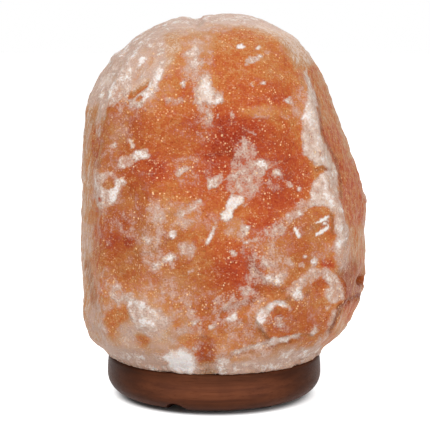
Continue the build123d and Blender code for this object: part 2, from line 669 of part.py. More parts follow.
def glass_core(shrink, low):
    """The bulb's outline turned solid, drawn in by a wall where asked."""
    neck = THREAD_CORE_RADIUS - CAP_WALL - GLASS_NECK_CLEARANCE - shrink
    belly = GLASS_RADIUS - shrink
    shoulder_high = cap_high + GLASS_SHOULDER_RISE
    dome_low = cap_high + GLASS_HEIGHT - GLASS_RADIUS
    profile = make_face(Polyline(
        (0, 0, dome_low),
        (0, 0, low),
        (neck, 0, low),
        (neck, 0, cap_high + GLASS_NECK_RISE),
        (belly, 0, shoulder_high),
        (belly, 0, dome_low),
        close=True,
    ))
    shoulder = [v for v in profile.vertices() if cap_high < v.Z < (shoulder_high + dome_low) / 2]
    body = revolve(fillet(shoulder, GLASS_SHOULDER_ROUND), Axis.Z)
    return body + Pos(0, 0, dome_low) * Sphere(belly)


def bulb_glass():
    """Blown envelope, open only at its neck."""
    neck_low = cap_high - GLASS_NECK_DEPTH
    return glass_core(0, neck_low) - glass_core(GLASS_WALL, neck_low - CUT_PAST)


def bulb_stem():
    """Glass mount: a flare that closes the neck, and a rod that holds the wires."""
    neck_low = cap_high - GLASS_NECK_DEPTH
    flare = THREAD_CORE_RADIUS - CAP_WALL - GLASS_NECK_CLEARANCE
    top = cap_high + STEM_RISE
    return turned([
        (0, neck_low - GLASS_WALL),
        (flare, neck_low - GLASS_WALL),
        (flare, neck_low),
        (flare - 1.5 * GLASS_WALL, neck_low),
        (STEM_RADIUS, neck_low + STEM_FLARE_HEIGHT),
        (STEM_RADIUS, top),
        (0, top),
    ])


def wire(points, radius):
    """A thin round wire through points in the lamp's XZ plane."""
    path = Polyline(*[(x, 0, z) for x, z in points])
    section = Plane(origin=path @ 0, z_dir=path % 0) * Circle(radius)
    return sweep(section, path, transition=Transition.ROUND)


def lead_wires():
    """Two wires from the stem out to the ends of the filament."""
    foot = cap_high + STEM_RISE + LEAD_SEAT_GAP
    top = cap_high + FILAMENT_RISE
    leads = []
    for side in (-1, 1):
        near = side * LEAD_OFFSET
        leads.append(wire([(near, foot), (near, foot + LEAD_RUN), (side * FILAMENT_SPAN, top)], LEAD_WIRE))
    return leads


def filament():
    """Tungsten wire strung in peaks between the leads."""
    low = cap_high + FILAMENT_RISE + LEAD_WIRE + FILAMENT_WIRE + LEAD_SEAT_GAP
    step = FILAMENT_SPAN / FILAMENT_PEAKS
    points = []
    for k in range(2 * FILAMENT_PEAKS + 1):
        points.append((k * step - FILAMENT_SPAN, low + FILAMENT_PEAK * (k % 2)))
    return wire(points, FILAMENT_WIRE)


# ---------------------------------------------------------------- assembly
def build():
    """Every sub-part by name, about the base's own axis, and the block's footprint."""
    block, levels = hewn_block()
    parts = {
        "salt_crystal": salt_crystal(block),
        "wooden_base": wooden_base(),
        "rubber_feet": rubber_feet(),
        "base_screws": base_screws(),
        "salt_plugs": salt_plugs(),
        "clip_plate": clip_plate(),
        "clip_feet": clip_feet(),
        "clip_rivets": clip_rivets(),
        "holder_body": holder_body(),
        "holder_cover": holder_cover(),
        "cover_screws": cover_screws(),
        "cord_gland": cord_gland(),
        "contact_block": contact_block(),
        "screw_shell": screw_shell(),
        "centre_contact": centre_contact(),
        "terminals": terminals(),
        "terminal_screws": terminal_screws(),
        "bulb_tip": bulb_tip(),
        "bulb_insulator": bulb_insulator(),
        "bulb_cap": bulb_cap(),
        "bulb_glass": bulb_glass(),
        "bulb_stem": bulb_stem(),
        "lead_wires": lead_wires(),
        "filament": filament(),
    }
    for k, leaf in enumerate(spaced(spring_clip(), 0, clip_bearing, CLIP_COUNT)):
        parts[f"spring_clip_{k + 1}"] = leaf
    corners = [p for level in levels for p in level]
    return parts, corners


def main():
    parts, corners = build()
    across = [p.X for p in corners]
    deep = [p.Y for p in corners]
    shift = Pos(-(min(across) + max(across)) / 2, -(min(deep) + max(deep)) / 2, 0)
    os.makedirs("parts", exist_ok=True)
    for name, shape in parts.items():
        if isinstance(shape, list):
            shape = Compound(children=[shift * s for s in shape])
        else:
            shape = shift * shape
        export_step(shape, f"parts/{name}.step")
    print("footprint shift", shift.position)


main()
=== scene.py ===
import bpy
import bmesh
import json
import numpy as np
from math import cos, radians, sin
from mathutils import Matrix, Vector, noise

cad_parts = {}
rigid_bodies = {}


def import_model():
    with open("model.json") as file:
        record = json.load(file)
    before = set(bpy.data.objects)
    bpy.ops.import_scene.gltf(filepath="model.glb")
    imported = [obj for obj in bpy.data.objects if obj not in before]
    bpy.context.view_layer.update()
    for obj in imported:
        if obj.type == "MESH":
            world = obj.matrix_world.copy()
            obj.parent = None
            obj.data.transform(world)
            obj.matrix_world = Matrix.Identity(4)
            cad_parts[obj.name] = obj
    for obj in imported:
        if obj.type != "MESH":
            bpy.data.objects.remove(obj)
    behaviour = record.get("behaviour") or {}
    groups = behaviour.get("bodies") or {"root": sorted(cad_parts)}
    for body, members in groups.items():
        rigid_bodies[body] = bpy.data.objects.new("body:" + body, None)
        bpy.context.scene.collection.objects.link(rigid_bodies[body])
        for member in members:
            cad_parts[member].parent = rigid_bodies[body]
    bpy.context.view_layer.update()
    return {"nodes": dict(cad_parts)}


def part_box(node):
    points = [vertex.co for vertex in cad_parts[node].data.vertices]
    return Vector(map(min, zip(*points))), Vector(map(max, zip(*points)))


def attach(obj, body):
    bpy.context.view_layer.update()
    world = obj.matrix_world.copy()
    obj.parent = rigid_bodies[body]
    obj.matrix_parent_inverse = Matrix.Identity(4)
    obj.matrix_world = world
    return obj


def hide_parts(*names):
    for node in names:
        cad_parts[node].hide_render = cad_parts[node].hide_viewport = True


for left_over in list(bpy.data.objects):
    bpy.data.objects.remove(left_over)
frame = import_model()
nodes = frame["nodes"]

# ------------------------------------------------------------------ the table, the light and the eye
# Not part of the lamp: a white table top that runs into a white room, a big soft lamp high at the
# left front, weaker ones at the right and behind, and the eye a little above the stone.
scene = bpy.context.scene
scene.view_settings.view_transform = "Standard"

EYE_AWAY = 0.90  # m from the eye to the point that it looks at
EYE_RISE = radians(8.0)  # how steeply it looks down
lamp_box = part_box("wooden_base")
lamp_axis = (lamp_box[0] + lamp_box[1]) / 2
EYE_AIM = Vector((lamp_axis.x + 0.0005, 0.0, 0.0956))
EYE_FIELD = 0.228  # m, width of what it sees at that distance
SENSOR = 36.0  # mm

looking = Vector((0, cos(EYE_RISE), -sin(EYE_RISE)))
eye_place = EYE_AIM - EYE_AWAY * looking

camera = bpy.data.objects.new("eye", bpy.data.cameras.new("eye"))
scene.collection.objects.link(camera)
camera.location = eye_place
camera.rotation_euler = looking.to_track_quat("-Z", "Y").to_euler()
camera.data.sensor_width = SENSOR
camera.data.lens = SENSOR * EYE_AWAY / EYE_FIELD
camera.data.clip_start = 0.01
scene.camera = camera


def softbox(name, place, width, watts):
    """A square area lamp that faces the middle of the stone."""
    lamp = bpy.data.objects.new(name, bpy.data.lights.new(name, "AREA"))
    scene.collection.objects.link(lamp)
    lamp.data.size = width
    lamp.data.energy = watts
    lamp.location = place
    lamp.rotation_euler = (EYE_AIM - Vector(place)).to_track_quat("-Z", "Y").to_euler()


softbox("key_lamp", (-0.38, -0.85, 1.22), 0.8, 11.8)
softbox("fill_lamp", (0.75, -1.0, 0.45), 0.7, 4.8)
softbox("back_lamp", (0.3, 1.1, 0.9), 0.8, 4.0)

ROOM_LIGHT = 0.36  # how brightly the room lights the lamp, where white is 1


def seen_straight(tree):
    """1 for a ray that shows the surface itself, in the picture or in metal and glass, else 0."""
    path = tree.nodes.new("ShaderNodeLightPath")
    straight = path.outputs["Is Camera Ray"]
    for other in ("Is Glossy Ray", "Is Transmission Ray"):
        larger = tree.nodes.new("ShaderNodeMath")
        larger.operation = "MAXIMUM"
        tree.links.new(straight, larger.inputs[0])
        tree.links.new(path.outputs[other], larger.inputs[1])
        straight = larger.outputs[0]
    return straight


def seen(red, green, blue):
    """A colour as a screen shows it, 0 to 255, as the colour that a shader takes."""
    straight = []
    for level in (red, green, blue):
        share = level / 255
        straight.append(share / 12.92 if share <= 0.04045 else ((share + 0.055) / 1.055) ** 2.4)
    return (*straight, 1.0)


class Finish:
    """One material. Its places are in millimetres in the lamp's own frame."""

    def __init__(self, name, rough, **sockets):
        self.material = bpy.data.materials.new(name)
        self.material.use_nodes = True
        self.tree = self.material.node_tree
        self.shader = self.tree.nodes["Principled BSDF"]
        self.set(Roughness=rough, **sockets)
        source = self.add("ShaderNodeTexCoord")
        self.place = self.vector("SCALE", source.outputs["Object"], Scale=1000.0)
        self.facing = source.outputs["Normal"]

    def add(self, kind, links=None, **settings):
        made = self.tree.nodes.new(kind)
        for key, value in settings.items():
            setattr(made, key, value)
        for key, value in (links or {}).items():
            self.put(made.inputs[key], value)
        return made

    def put(self, socket, value):
        if isinstance(value, bpy.types.NodeSocket):
            self.tree.links.new(value, socket)
        else:
            socket.default_value = value

    def set(self, **sockets):
        for key, value in sockets.items():
            self.put(self.shader.inputs[key.replace("_", " ")], value)

    def vector(self, operation, first, second=None, **sockets):
        made = self.add("ShaderNodeVectorMath", {0: first, **sockets}, operation=operation)
        if second is not None:
            self.put(made.inputs[1], second)
        return made.outputs["Vector"]

    def maths(self, operation, first, second=0.0):
        return self.add("ShaderNodeMath", {0: first, 1: second}, operation=operation).outputs[0]

    def plus(self, total, *more):
        for value in more:
            total = self.maths("ADD", total, value)
        return total

    def times(self, product, *more):
        for value in more:
            product = self.maths("MULTIPLY", product, value)
        return product

    def part(self, value, name):
        """One of a place's X, Y and Z, or of a colour's Red, Green and Blue."""
        kind = "ShaderNodeSeparateXYZ" if name in "XYZ" else "ShaderNodeSeparateColor"
        return self.add(kind, {0: value}).outputs[name]

    def stretched(self, place, across, deep, up):
        """Places drawn out, so that a texture's grains are that much longer each way."""
        return self.vector("DIVIDE", place, (across, deep, up))

    def grain(self, size, detail=2.0, place=None, rough=0.5):
        """Soft noise whose lumps are about size millimetres across."""
        links = {"Vector": place or self.place, "Scale": 1 / size, "Detail": detail, "Roughness": rough}
        return self.add("ShaderNodeTexNoise", links).outputs["Fac"]

    def cells(self, size):
        """Crystals about size millimetres across: distance from each one's middle, and its own colour."""
        made = self.add("ShaderNodeTexVoronoi", {"Vector": self.place, "Scale": 1 / size})
        return made.outputs["Distance"], made.outputs["Color"]

    def rise(self, value, low, high, to_low=0.0, to_high=1.0):
        """The value eased from one range into another."""
        links = {"Value": value, "From Min": low, "From Max": high, "To Min": to_low, "To Max": to_high}
        return self.add("ShaderNodeMapRange", links, interpolation_type="SMOOTHSTEP").outputs["Result"]

    def swing(self, noise, amount, low=0.25, high=0.75):
        """A noise's middle range eased into minus to plus that amount."""
        return self.rise(noise, low, high, -amount, amount)

    def mix(self, share, first, second):
        made = self.add("ShaderNodeMix", data_type="RGBA")
        self.put(made.inputs["Factor"], share)
        self.put(made.inputs[6], first)
        self.put(made.inputs[7], second)
        return made.outputs[2]

    def ramp(self, value, stops):
        """Colours along a value, each stop a place from 0 to 1 and a colour."""
        made = self.add("ShaderNodeValToRGB", {"Fac": value})
        points = made.color_ramp.elements
        while len(points) < len(stops):
            points.new(0.5)
        for point, (at, colour) in zip(points, stops):
            point.position = at
            point.color = colour
        return made.outputs["Color"]

    def two_tone(self, noise, dark, light, dark_up_to=0.3):
        """The whole finish in two shades of one colour, in the patches of a noise."""
        self.set(Base_Color=self.ramp(noise, [(dark_up_to, seen(*dark)), (0.7, seen(*light))]))

    def worn(self, noise, smooth, rough):
        """Places of two kinds of smoothness, in the patches of a noise."""
        self.set(Roughness=self.rise(noise, 0.3, 0.7, smooth, rough))

    def bump(self, height, depth, strength=1.0):
        """Surface relief, with its depth in millimetres."""
        links = {"Height": height, "Distance": depth / 1000, "Strength": strength}
        self.set(Normal=self.add("ShaderNodeBump", links).outputs["Normal"])

    def on(self, *names):
        for name in names:
            nodes[name].data.materials.clear()
            nodes[name].data.materials.append(self.material)


room = bpy.data.worlds.new("white_room")
scene.world = room
room.use_nodes = True
room_glow = room.node_tree.nodes["Background"]
room_glow.inputs["Color"].default_value = (1, 1, 1, 1)
room_level = room.node_tree.nodes.new("ShaderNodeMapRange")
room_level.inputs["To Min"].default_value = ROOM_LIGHT
room_level.inputs["To Max"].default_value = 1.0
room.node_tree.links.new(seen_straight(room.node_tree), room_level.inputs["Value"])
room.node_tree.links.new(room_level.outputs["Result"], room_glow.inputs["Strength"])

TABLE_HALF = 4.0  # m
TABLE_WHITE = (0.85, 0.85, 0.85, 1)
TABLE_GLOW = 0.75  # lifts the table to white where nothing shades it
PAINTED_SHADE_REACH = (47.0, 55.5)  # mm from the lamp's axis: no lift inside, which leaves a painted shade under and round the base, the whole of it outside

table_mesh = bpy.data.meshes.new("table_top")
corners = [(x * TABLE_HALF, y * TABLE_HALF, 0) for x, y in ((-1, -1), (1, -1), (1, 1), (-1, 1))]
table_mesh.from_pydata(corners, [], [(0, 1, 2, 3)])
table_top = bpy.data.objects.new("table_top", table_mesh)
scene.collection.objects.link(table_top)
table_paint = Finish("table_white", 0.8, Base_Color=TABLE_WHITE, Specular_IOR_Level=0.1,
                     Emission_Color=(1, 1, 1, 1))
axis_foot = (lamp_axis.x * 1000, lamp_axis.y * 1000, 0)
links = {0: table_paint.place, 1: axis_foot}
from_axis = table_paint.add("ShaderNodeVectorMath", links, operation="DISTANCE").outputs["Value"]
# painted shade: the lift fades out towards the base, so the table stays dark round its foot
lift = table_paint.rise(from_axis, *PAINTED_SHADE_REACH, 0.0, TABLE_GLOW)
table_paint.set(Emission_Strength=table_paint.times(seen_straight(table_paint.tree), lift))
table_mesh.materials.append(table_paint.material)

# ------------------------------------------------------------------ wooden base
# A disc turned from one plank of hardwood and stained red-brown. The grain runs left to right, so
# the front and the back show long lines, and the two ends show darker end grain.
WOOD_RED = seen(120, 70, 48)
WOOD_BROWN = seen(92, 54, 40)
WOOD_DARK = seen(52, 26, 15)
WOOD_SHEEN = seen(255, 200, 150)
STAIN_MOTTLE = 9.0  # mm, size of the places that took more stain
FIBRE = (26.0, 1.6, 0.55)  # mm, size of the wood's fibres along, into and up the plank
RINGS = (70.0, 9.0, 2.6)  # mm, the same of its year rings
WOOD_TOP = lamp_box[1].z * 1000
TOP_EDGE_PAINTED_SHADE = (WOOD_TOP - 9.0, WOOD_TOP)  # heights between which the top edge grows dark with painted shade under the salt's overhang
BOTTOM_EDGE_PAINTED_SHADE = (3.0, 13.0)  # heights between which the bottom edge's painted shade fades out
END_GRAIN = (0.35, 0.9)  # how squarely the rim faces left or right, where end grain starts and is full

wood = Finish("stained_wood", 0.5, Specular_IOR_Level=0.04, Specular_Tint=WOOD_SHEEN)
fibres = wood.grain(1.0, 3.0, wood.stretched(wood.place, *FIBRE), 0.6)
rings = wood.grain(1.0, 2.0, wood.stretched(wood.place, *RINGS), 0.4)
board = wood.ramp(rings, [(0.3, WOOD_BROWN), (0.62, WOOD_RED)])
board = wood.mix(wood.rise(fibres, 0.52, 0.75, 0.0, 0.45), board, WOOD_DARK)
board = wood.mix(wood.rise(wood.grain(STAIN_MOTTLE), 0.4, 0.75, 0.0, 0.5), board, WOOD_BROWN)
height_up = wood.part(wood.place, "Z")
# painted shade: the top edge darker, where the salt's overhang shades it
board = wood.mix(wood.rise(height_up, *TOP_EDGE_PAINTED_SHADE, 0.0, 0.5), board, WOOD_DARK)
# painted shade: the bottom edge darker, fading out upward
board = wood.mix(wood.rise(height_up, *BOTTOM_EDGE_PAINTED_SHADE, 0.5, 0.0), board, WOOD_DARK)
sideways = wood.maths("ABSOLUTE", wood.part(wood.facing, "X"))
board = wood.mix(wood.rise(sideways, *END_GRAIN, 0.0, 0.75), board, WOOD_DARK)
wood.set(Base_Color=board, Roughness=wood.rise(fibres, 0.3, 0.8, 0.36, 0.55))
wood.bump(fibres, 0.12, 0.6)
wood.on("wooden_base")

# ------------------------------------------------------------------ rubber feet
# Three round pads punched from grey-black rubber sheet and stuck under the base. They lift it off
# the table by the thin line of shadow that shows under it.
rubber = Finish("foot_rubber", 0.75)
rubber.two_tone(rubber.grain(0.8), (34, 34, 36), (52, 52, 54))
rubber.bump(rubber.grain(0.5), 0.08, 0.5)
rubber.on("rubber_feet")

# ------------------------------------------------------------------ salt block
# One lump of orange rock salt, hewn by hand and sawn flat underneath. It is drilled from below for
# the bulb. Clear orange salt shows where it broke clean, and white crust where it was bruised.
STONE_FACE = 1.1  # mm, size of the faces that the stone is made of
EASE_ROUNDS = 16  # how often the hewn edges are eased
EASE_SHARE = 0.6  # how far each round draws a corner to the middle of its neighbours
EASE_BAND = (0.4, 4.0)  # mm above the sawn face, where easing starts and where it is full
SAWN_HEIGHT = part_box("salt_crystal")[0].z * 1000
SAWN_REACH = 56.2  # mm, radius of the sawn face
LAMP_AXIS = np.array([lamp_axis.x, lamp_axis.y, 0.0])
BORE_EDGE = 26.5  # mm from the axis: what lies within it and below the bore's top stays as drilled
BORE_TOP = SAWN_HEIGHT + 97.0


def eased(value, low, high):
    """0 below low, 1 above high, and a smooth rise between."""
    share = np.clip((value - low) / (high - low), 0.0, 1.0)
    return share * share * (3 - 2 * share)


def remeshed(name, source, size):
    """A copy of a mesh in even square faces of about that size in millimetres."""
    welded = bmesh.new()
    welded.from_mesh(source)
    bmesh.ops.remove_doubles(welded, verts=welded.verts, dist=1e-6)
    mesh = bpy.data.meshes.new(name)
    welded.to_mesh(mesh)
    welded.free()
    piece = bpy.data.objects.new(name, mesh)
    scene.collection.objects.link(piece)
    grid = piece.modifiers.new("even_faces", "REMESH")
    grid.mode = "VOXEL"
    grid.voxel_size = size / 1000
    even = bpy.data.meshes.new_from_object(piece.evaluated_get(bpy.context.evaluated_depsgraph_get()))
    piece.modifiers.clear()
    piece.data = even
    return piece


def of_corners(mesh, what):
    """Each corner's place, "co", or the way it faces, "normal"."""
    flat = np.empty(len(mesh.vertices) * 3)
    mesh.vertices.foreach_get(what, flat)
    return flat.reshape(-1, 3)


def places(mesh):
    """Every corner of a mesh in millimetres from the lamp's axis and the table."""
    return (of_corners(mesh, "co") - LAMP_AXIS) * 1000


def put_places(mesh, spots):
    mesh.vertices.foreach_set("co", (spots / 1000 + LAMP_AXIS).ravel())
    mesh.update()


def in_bore(spots):
    return (np.hypot(spots[:, 0], spots[:, 1]) < BORE_EDGE) & (spots[:, 2] < BORE_TOP)


def lumps(spots, size, octaves=1, seed=0.0):
    """Smooth noise from about -1 to 1 at each spot, with lumps of that size in millimetres."""
    shift = Vector((seed, 1.7 * seed, -seed))
    return np.array([noise.fractal(Vector(p) + shift, 1.0, 2.0, octaves) for p in spots / size])


def uneven(spots, size_and_height, octaves, seed):
    """Lumps of one size and height, both in millimetres."""
    size, height = size_and_height
    return height * lumps(spots, size, octaves, seed)


def away_from(path, across, up):
    """Distance in millimetres on the sheet from each spot to a line of straight runs."""
    nearest = np.full(len(across), np.inf)
    for (x0, z0), (x1, z1) in zip(path, path[1:]):
        run = (x1 - x0, z1 - z0)
        along = ((across - x0) * run[0] + (up - z0) * run[1]) / (run[0] ** 2 + run[1] ** 2)
        along = np.clip(along, 0.0, 1.0)
        gap = np.hypot(across - x0 - along * run[0], up - z0 - along * run[1])
        nearest = np.minimum(nearest, gap)
    return nearest


def stamp(level, strength, soft, outline, across, up):
    """Brings a level to that strength inside a closed outline on the sheet, with an edge that soft."""
    rims = list(zip(*outline))
    near = (across > min(rims[0]) - soft) & (across < max(rims[0]) + soft)
    near &= (up > min(rims[1]) - soft) & (up < max(rims[1]) + soft)
    x, z = across[near], up[near]
    loop = outline + outline[:1]
    within = np.zeros(len(x), dtype=bool)
    for (x0, z0), (x1, z1) in zip(loop, loop[1:]):
        if z0 != z1:
            within ^= ((z0 > z) != (z1 > z)) & (x < x0 + (z - z0) * (x1 - x0) / (z1 - z0))
    inward = np.where(within, 1, -1) * away_from(loop, x, z)
    level[near] += eased(inward, -soft / 2, soft / 2) * (strength - level[near])


# The marks of the stone's front lie on a sheet that is held upright through the lamp's axis, square
# to the line of sight. Each is given in millimetres across from the axis and up from the table, and
# is carried to the stone along lines from the eye's place. The places were picked one by one, and a
# program turned most of them into millimetres.
def from_eye(spots):
    """The way from the eye's place to each spot, in metres."""
    return spots / 1000 + LAMP_AXIS - np.array(eye_place)


def toward_eye(spots, facing):
    """1 where the stone faces the eye, 0 where it is seen edge on, and less beyond."""
    away = from_eye(spots)
    return -np.sum(facing * away, axis=1) / np.linalg.norm(away, axis=1)


def on_sheet(spots):
    """Across and up on the sheet for each spot."""
    away = from_eye(spots)
    ahead = away @ np.array(looking)
    upward = away @ np.array((0, sin(EYE_RISE), cos(EYE_RISE)))
    across = away[:, 0] / ahead * EYE_AWAY + EYE_AIM.x - lamp_axis.x
    return across * 1000, (upward / ahead * EYE_AWAY + EYE_AIM.z) * 1000


# What stands proud of the stone's front or lies deeper: rise in millimetres, softness, outline
SHELVES = [
    (1.5, 1.8, [(52.5, 103.5), (47, 104), (42.5, 101), (39, 97), (35.5, 94.5), (30, 92), (27, 87.5),
        (24.5, 83), (21, 78.5), (20, 73), (22, 67.5), (25.5, 63.5), (27.5, 59), (37, 55.5), (45.5, 58.5),
        (55, 68), (64.5, 65.5), (71, 70.5), (72, 82.5), (70, 92), (67, 100.5)]),
    (2.7, 1.6, [(37, 54), (43.5, 60.5), (48, 65.5), (54, 68.5), (61.5, 67.5), (66.5, 62.5), (69.5, 55),
        (69, 49), (63.5, 39.5), (59.5, 34.5), (54, 32), (45.5, 33), (37, 31.5), (29.5, 29.5), (25.5, 34.5),
        (22.5, 41), (27.5, 48.5), (34.5, 51.5)]),
    (1.6, 1.6, [(52.5, 59), (55.5, 61), (59.5, 60), (60, 57), (56.5, 54.5), (53, 55.5)]),
    (0.9, 1.4, [(48.5, 169), (51.5, 160), (54, 150), (56, 142), (58, 132), (63, 125), (65.5, 120.5),
        (61.5, 119.5), (50.5, 124), (46.5, 133), (46.5, 146), (48, 155)]),
    (0.9, 1.2, [(58, 118), (65.5, 120.5), (66, 106), (69, 92), (69.5, 80), (67, 78), (64, 86), (60, 99),
        (53, 100.5), (51, 107)]),
    (0.8, 1.2, [(8.5, 106.5), (15.5, 105.5), (16, 102), (9, 96.5), (9.5, 93.5), (3.5, 93), (4, 96.5),
        (7, 103)]),
    (0.7, 1.4, [(-26, 174.5), (-33, 162.5), (-37, 155), (-44, 153), (-45.5, 156), (-35, 162), (-29, 173)]),
    (0.6, 2.0, [(-6, 173), (0.5, 163.5), (6, 155), (-11, 154.5), (-7.5, 168)]),
    (0.7, 1.4, [(-63.5, 119.5), (-50, 116), (-45.5, 113), (-53, 102), (-60, 98.5), (-64, 109)]),
    (0.7, 1.2, [(22, 42), (32, 50.5), (39, 48.5), (32, 46.5), (25.5, 37.5)]),
    (-1.1, 8.0, [(-50, 176), (-50, 196), (-30, 212), (-10, 212), (-10, 197), (-32, 190)]),
]
# Creases, grooves and low ridges: rise in millimetres, half-width, softness, line
CREASES = [
    (-2.6, 1.0, 3.4, [(-9.5, 206), (-9.5, 199)]),
    (-5.0, 1.2, 1.8, [(88, 62), (77.5, 61)]),
    (-1.4, 0.8, 1.8, [(70, 50), (66, 45), (63, 39.5), (61, 33.5)]),
    (-1.2, 0.6, 1.4, [(70.5, 51), (75, 52.3), (82, 54)]),
    (-1.0, 0.5, 1.2, [(-45, 157.5), (-40.5, 162), (-34, 166)]),
    (-0.9, 0.6, 1.6, [(9.5, 21), (16.5, 23), (30, 26.5), (45, 31.5)]),
    (0.7, 0.8, 2.2, [(-27.5, 157), (-12, 159)]),
    (0.7, 0.8, 2.4, [(15.5, 149), (28, 149), (40.5, 146.5)]),
    (-0.7, 1.2, 3.0, [(-64, 96), (-65, 84), (-66, 70)]),
    (-0.8, 0.8, 2.2, [(12, 44), (26, 50)]),
    (-0.9, 2.0, 3.0, [(-5, 28), (-5, 18)]),
    (-0.6, 0.8, 2.0, [(-41, 72), (-29, 76), (-20, 84)]),
    (-0.6, 0.8, 2.0, [(-24, 92), (-8, 103)]),
    (0.6, 1.0, 2.0, [(-45, 84), (-34, 92), (-24, 99)]),
    (-0.7, 0.6, 1.6, [(4, 43.5), (12, 47.5), (21, 50.5)]),
]
# Size and height of the stone's unevenness, in millimetres
WAVES = (26.0, 0.9)
CHIPPING = (9.0, 0.75)
CRYSTALS = (3.2, 0.22)
ROUGHNESS = (1.7, 0.1)
WANDER = (5.0, 0.7)  # how the lines of the shelves and creases waver
CHIP_MEAN = 0.3  # taken off the chips, so that they go in as well as out
SWELL = 0.1  # mm, makes up for what easing the edges took away
FRONT_RELIEF = (-0.35, 0.05)  # how far round the stone the sheet's relief fades out and is full

stone = remeshed("salt_block", nodes["salt_crystal"].data, STONE_FACE)
spots = places(stone.data)
outside = np.where(in_bore(spots), 0.0, 1.0)
outside *= eased(spots[:, 2] - SAWN_HEIGHT, *EASE_BAND)

ends = np.empty(len(stone.data.edges) * 2, dtype=np.int64)
stone.data.edges.foreach_get("vertices", ends)
ends = ends.reshape(-1, 2)
neighbours = np.bincount(ends.ravel(), minlength=len(spots))
for _ in range(EASE_ROUNDS):
    around = np.zeros_like(spots)
    for axis in range(3):
        around[:, axis] = np.bincount(ends[:, 0], spots[ends[:, 1], axis], len(spots))
        around[:, axis] += np.bincount(ends[:, 1], spots[ends[:, 0], axis], len(spots))
    spots += outside[:, None] * EASE_SHARE * (around / neighbours[:, None] - spots)
put_places(stone.data, spots)

facing = of_corners(stone.data, "normal")
front = eased(toward_eye(spots, facing), *FRONT_RELIEF)
across, up = on_sheet(spots)
push = SWELL + uneven(spots, WAVES, 2, 3.1)
push += np.abs(uneven(spots, CHIPPING, 2, 8.4)) - CHIP_MEAN * CHIPPING[1]
push += uneven(spots, CRYSTALS, 2, 5.5) + uneven(spots, ROUGHNESS, 1, 2.2)
wander = uneven(spots, WANDER, 2, 6.3)
shelf = np.zeros(len(spots))
for rise, soft, outline in SHELVES:
    stamp(shelf, rise, soft, outline, across + wander, up - wander)
for rise, half_width, soft, path in CREASES:
    gap = away_from(path, across + wander, up - wander)
    shelf += rise * (1 - eased(gap, half_width, half_width + soft))
spots += facing * ((push + shelf * front) * outside)[:, None]

# The sawn face is round like the base, and its edge is chipped
SAWN_SKIN = 0.6  # mm above the sawn face, up to which corners belong to it
HEM_BAND = (50.0, 55.0)  # mm from the axis, where the edge starts to be drawn to the circle and is on it
HEM_HEIGHT = 5.0  # mm above the sawn face, where that ends
CHIP_BAND = (53.5, 56.0)  # mm from the axis, where the edge's chips start and are full
HEM_CHIP = 3.4  # mm, how far up they bite
bearing = np.degrees(np.arctan2(spots[:, 1], spots[:, 0])).astype(int) % 360
reach = np.hypot(spots[:, 0], spots[:, 1])
sawn = spots[:, 2] < SAWN_HEIGHT + SAWN_SKIN
sawn_edge = np.zeros(360)
np.maximum.at(sawn_edge, bearing[sawn], reach[sawn])
hem = eased(reach, *HEM_BAND) * (1 - eased(spots[:, 2] - SAWN_HEIGHT, 0.0, HEM_HEIGHT))
spots[:, :2] *= (1 + hem * (SAWN_REACH / sawn_edge[bearing] - 1))[:, None]
chips = np.clip(1.2 * np.abs(lumps(spots, 3.0, 3, 9.7)) + 0.5 * lumps(spots, 9.0, 1, 1.2), 0.0, 1.2)
spots[:, 2] += eased(reach, *CHIP_BAND) * hem * HEM_CHIP * chips
put_places(stone.data, spots)
for face in stone.data.polygons:
    face.use_smooth = True

# Depth of colour from 0, bleached, to 5, deep red: across, up, half-width, half-height, depth
DEEPEST = 5
PLAIN_DEPTH = 2.4
COLOUR_ZONES = [
    (-18, 122, 46, 45, 2.9),
    (11, 131, 24, 24, 4.5),
    (32, 116, 18, 24, 4.1),
    (14, 66, 16, 18, 4.0),
    (26, 88, 11, 8, 3.9),
    (-2, 44, 14, 11, 3.1),
    (-26, 140, 23, 10, 3.0),
    (-10, 142, 11, 7, 3.6),
    (-34, 120, 14, 7, 4.0),
    (-52, 86, 12, 12, 3.3),
    (-54, 82, 4, 4, 4.3),
    (-46, 82, 3, 3, 4.5),
    (-47, 64, 11, 7, 2.3),
    (-26, 89, 15, 18, 2.4),
    (-21, 68, 8, 4, 2.9),
    (22, 176, 23, 14, 2.3),
    (38, 180, 8, 5, 2.5),
    (22, 161, 21, 8, 3.3),
    (30, 156, 13, 4, 3.9),
    (-1, 176, 7, 11, 2.7),
    (-22, 189, 9, 5, 2.0),
    (-8, 188, 12, 7, 1.7),
    (-51, 149, 7, 6, 2.7),
    (-55, 138, 8, 7, 2.1),
    (-44, 34, 28, 17, 0.8),
    (-50, 44, 9, 6, 2.3),
    (-55, 37, 7, 8, 2.3),
    (-38, 30, 6, 4, 2.7),
    (-20, 38, 3, 3, 2.6),
    (-4, 22, 6, 8, 3.5),
    (42, 40, 15, 9, 3.2),
    (56, 58, 5, 5, 3.1),
    (47, 84, 15, 13, 2.7),
    (60, 70, 5, 3, 3.8),
    (76, 80, 5, 10, 1.6),
    (73, 58, 5, 8, 2.9),
    (-56, 112, 4, 4, 1.9),
    (-60, 104, 2, 2, 3.8),
    (-39, 162, 5, 4, 3.6),
    (-12, 163, 7, 7, 3.0),
    (40, 23, 11, 5, 1.6),
    (22, 20, 13, 5, 1.7),
    (28, 150, 14, 4, 2.2),
    (68, 32, 4, 8, 1.6),
]
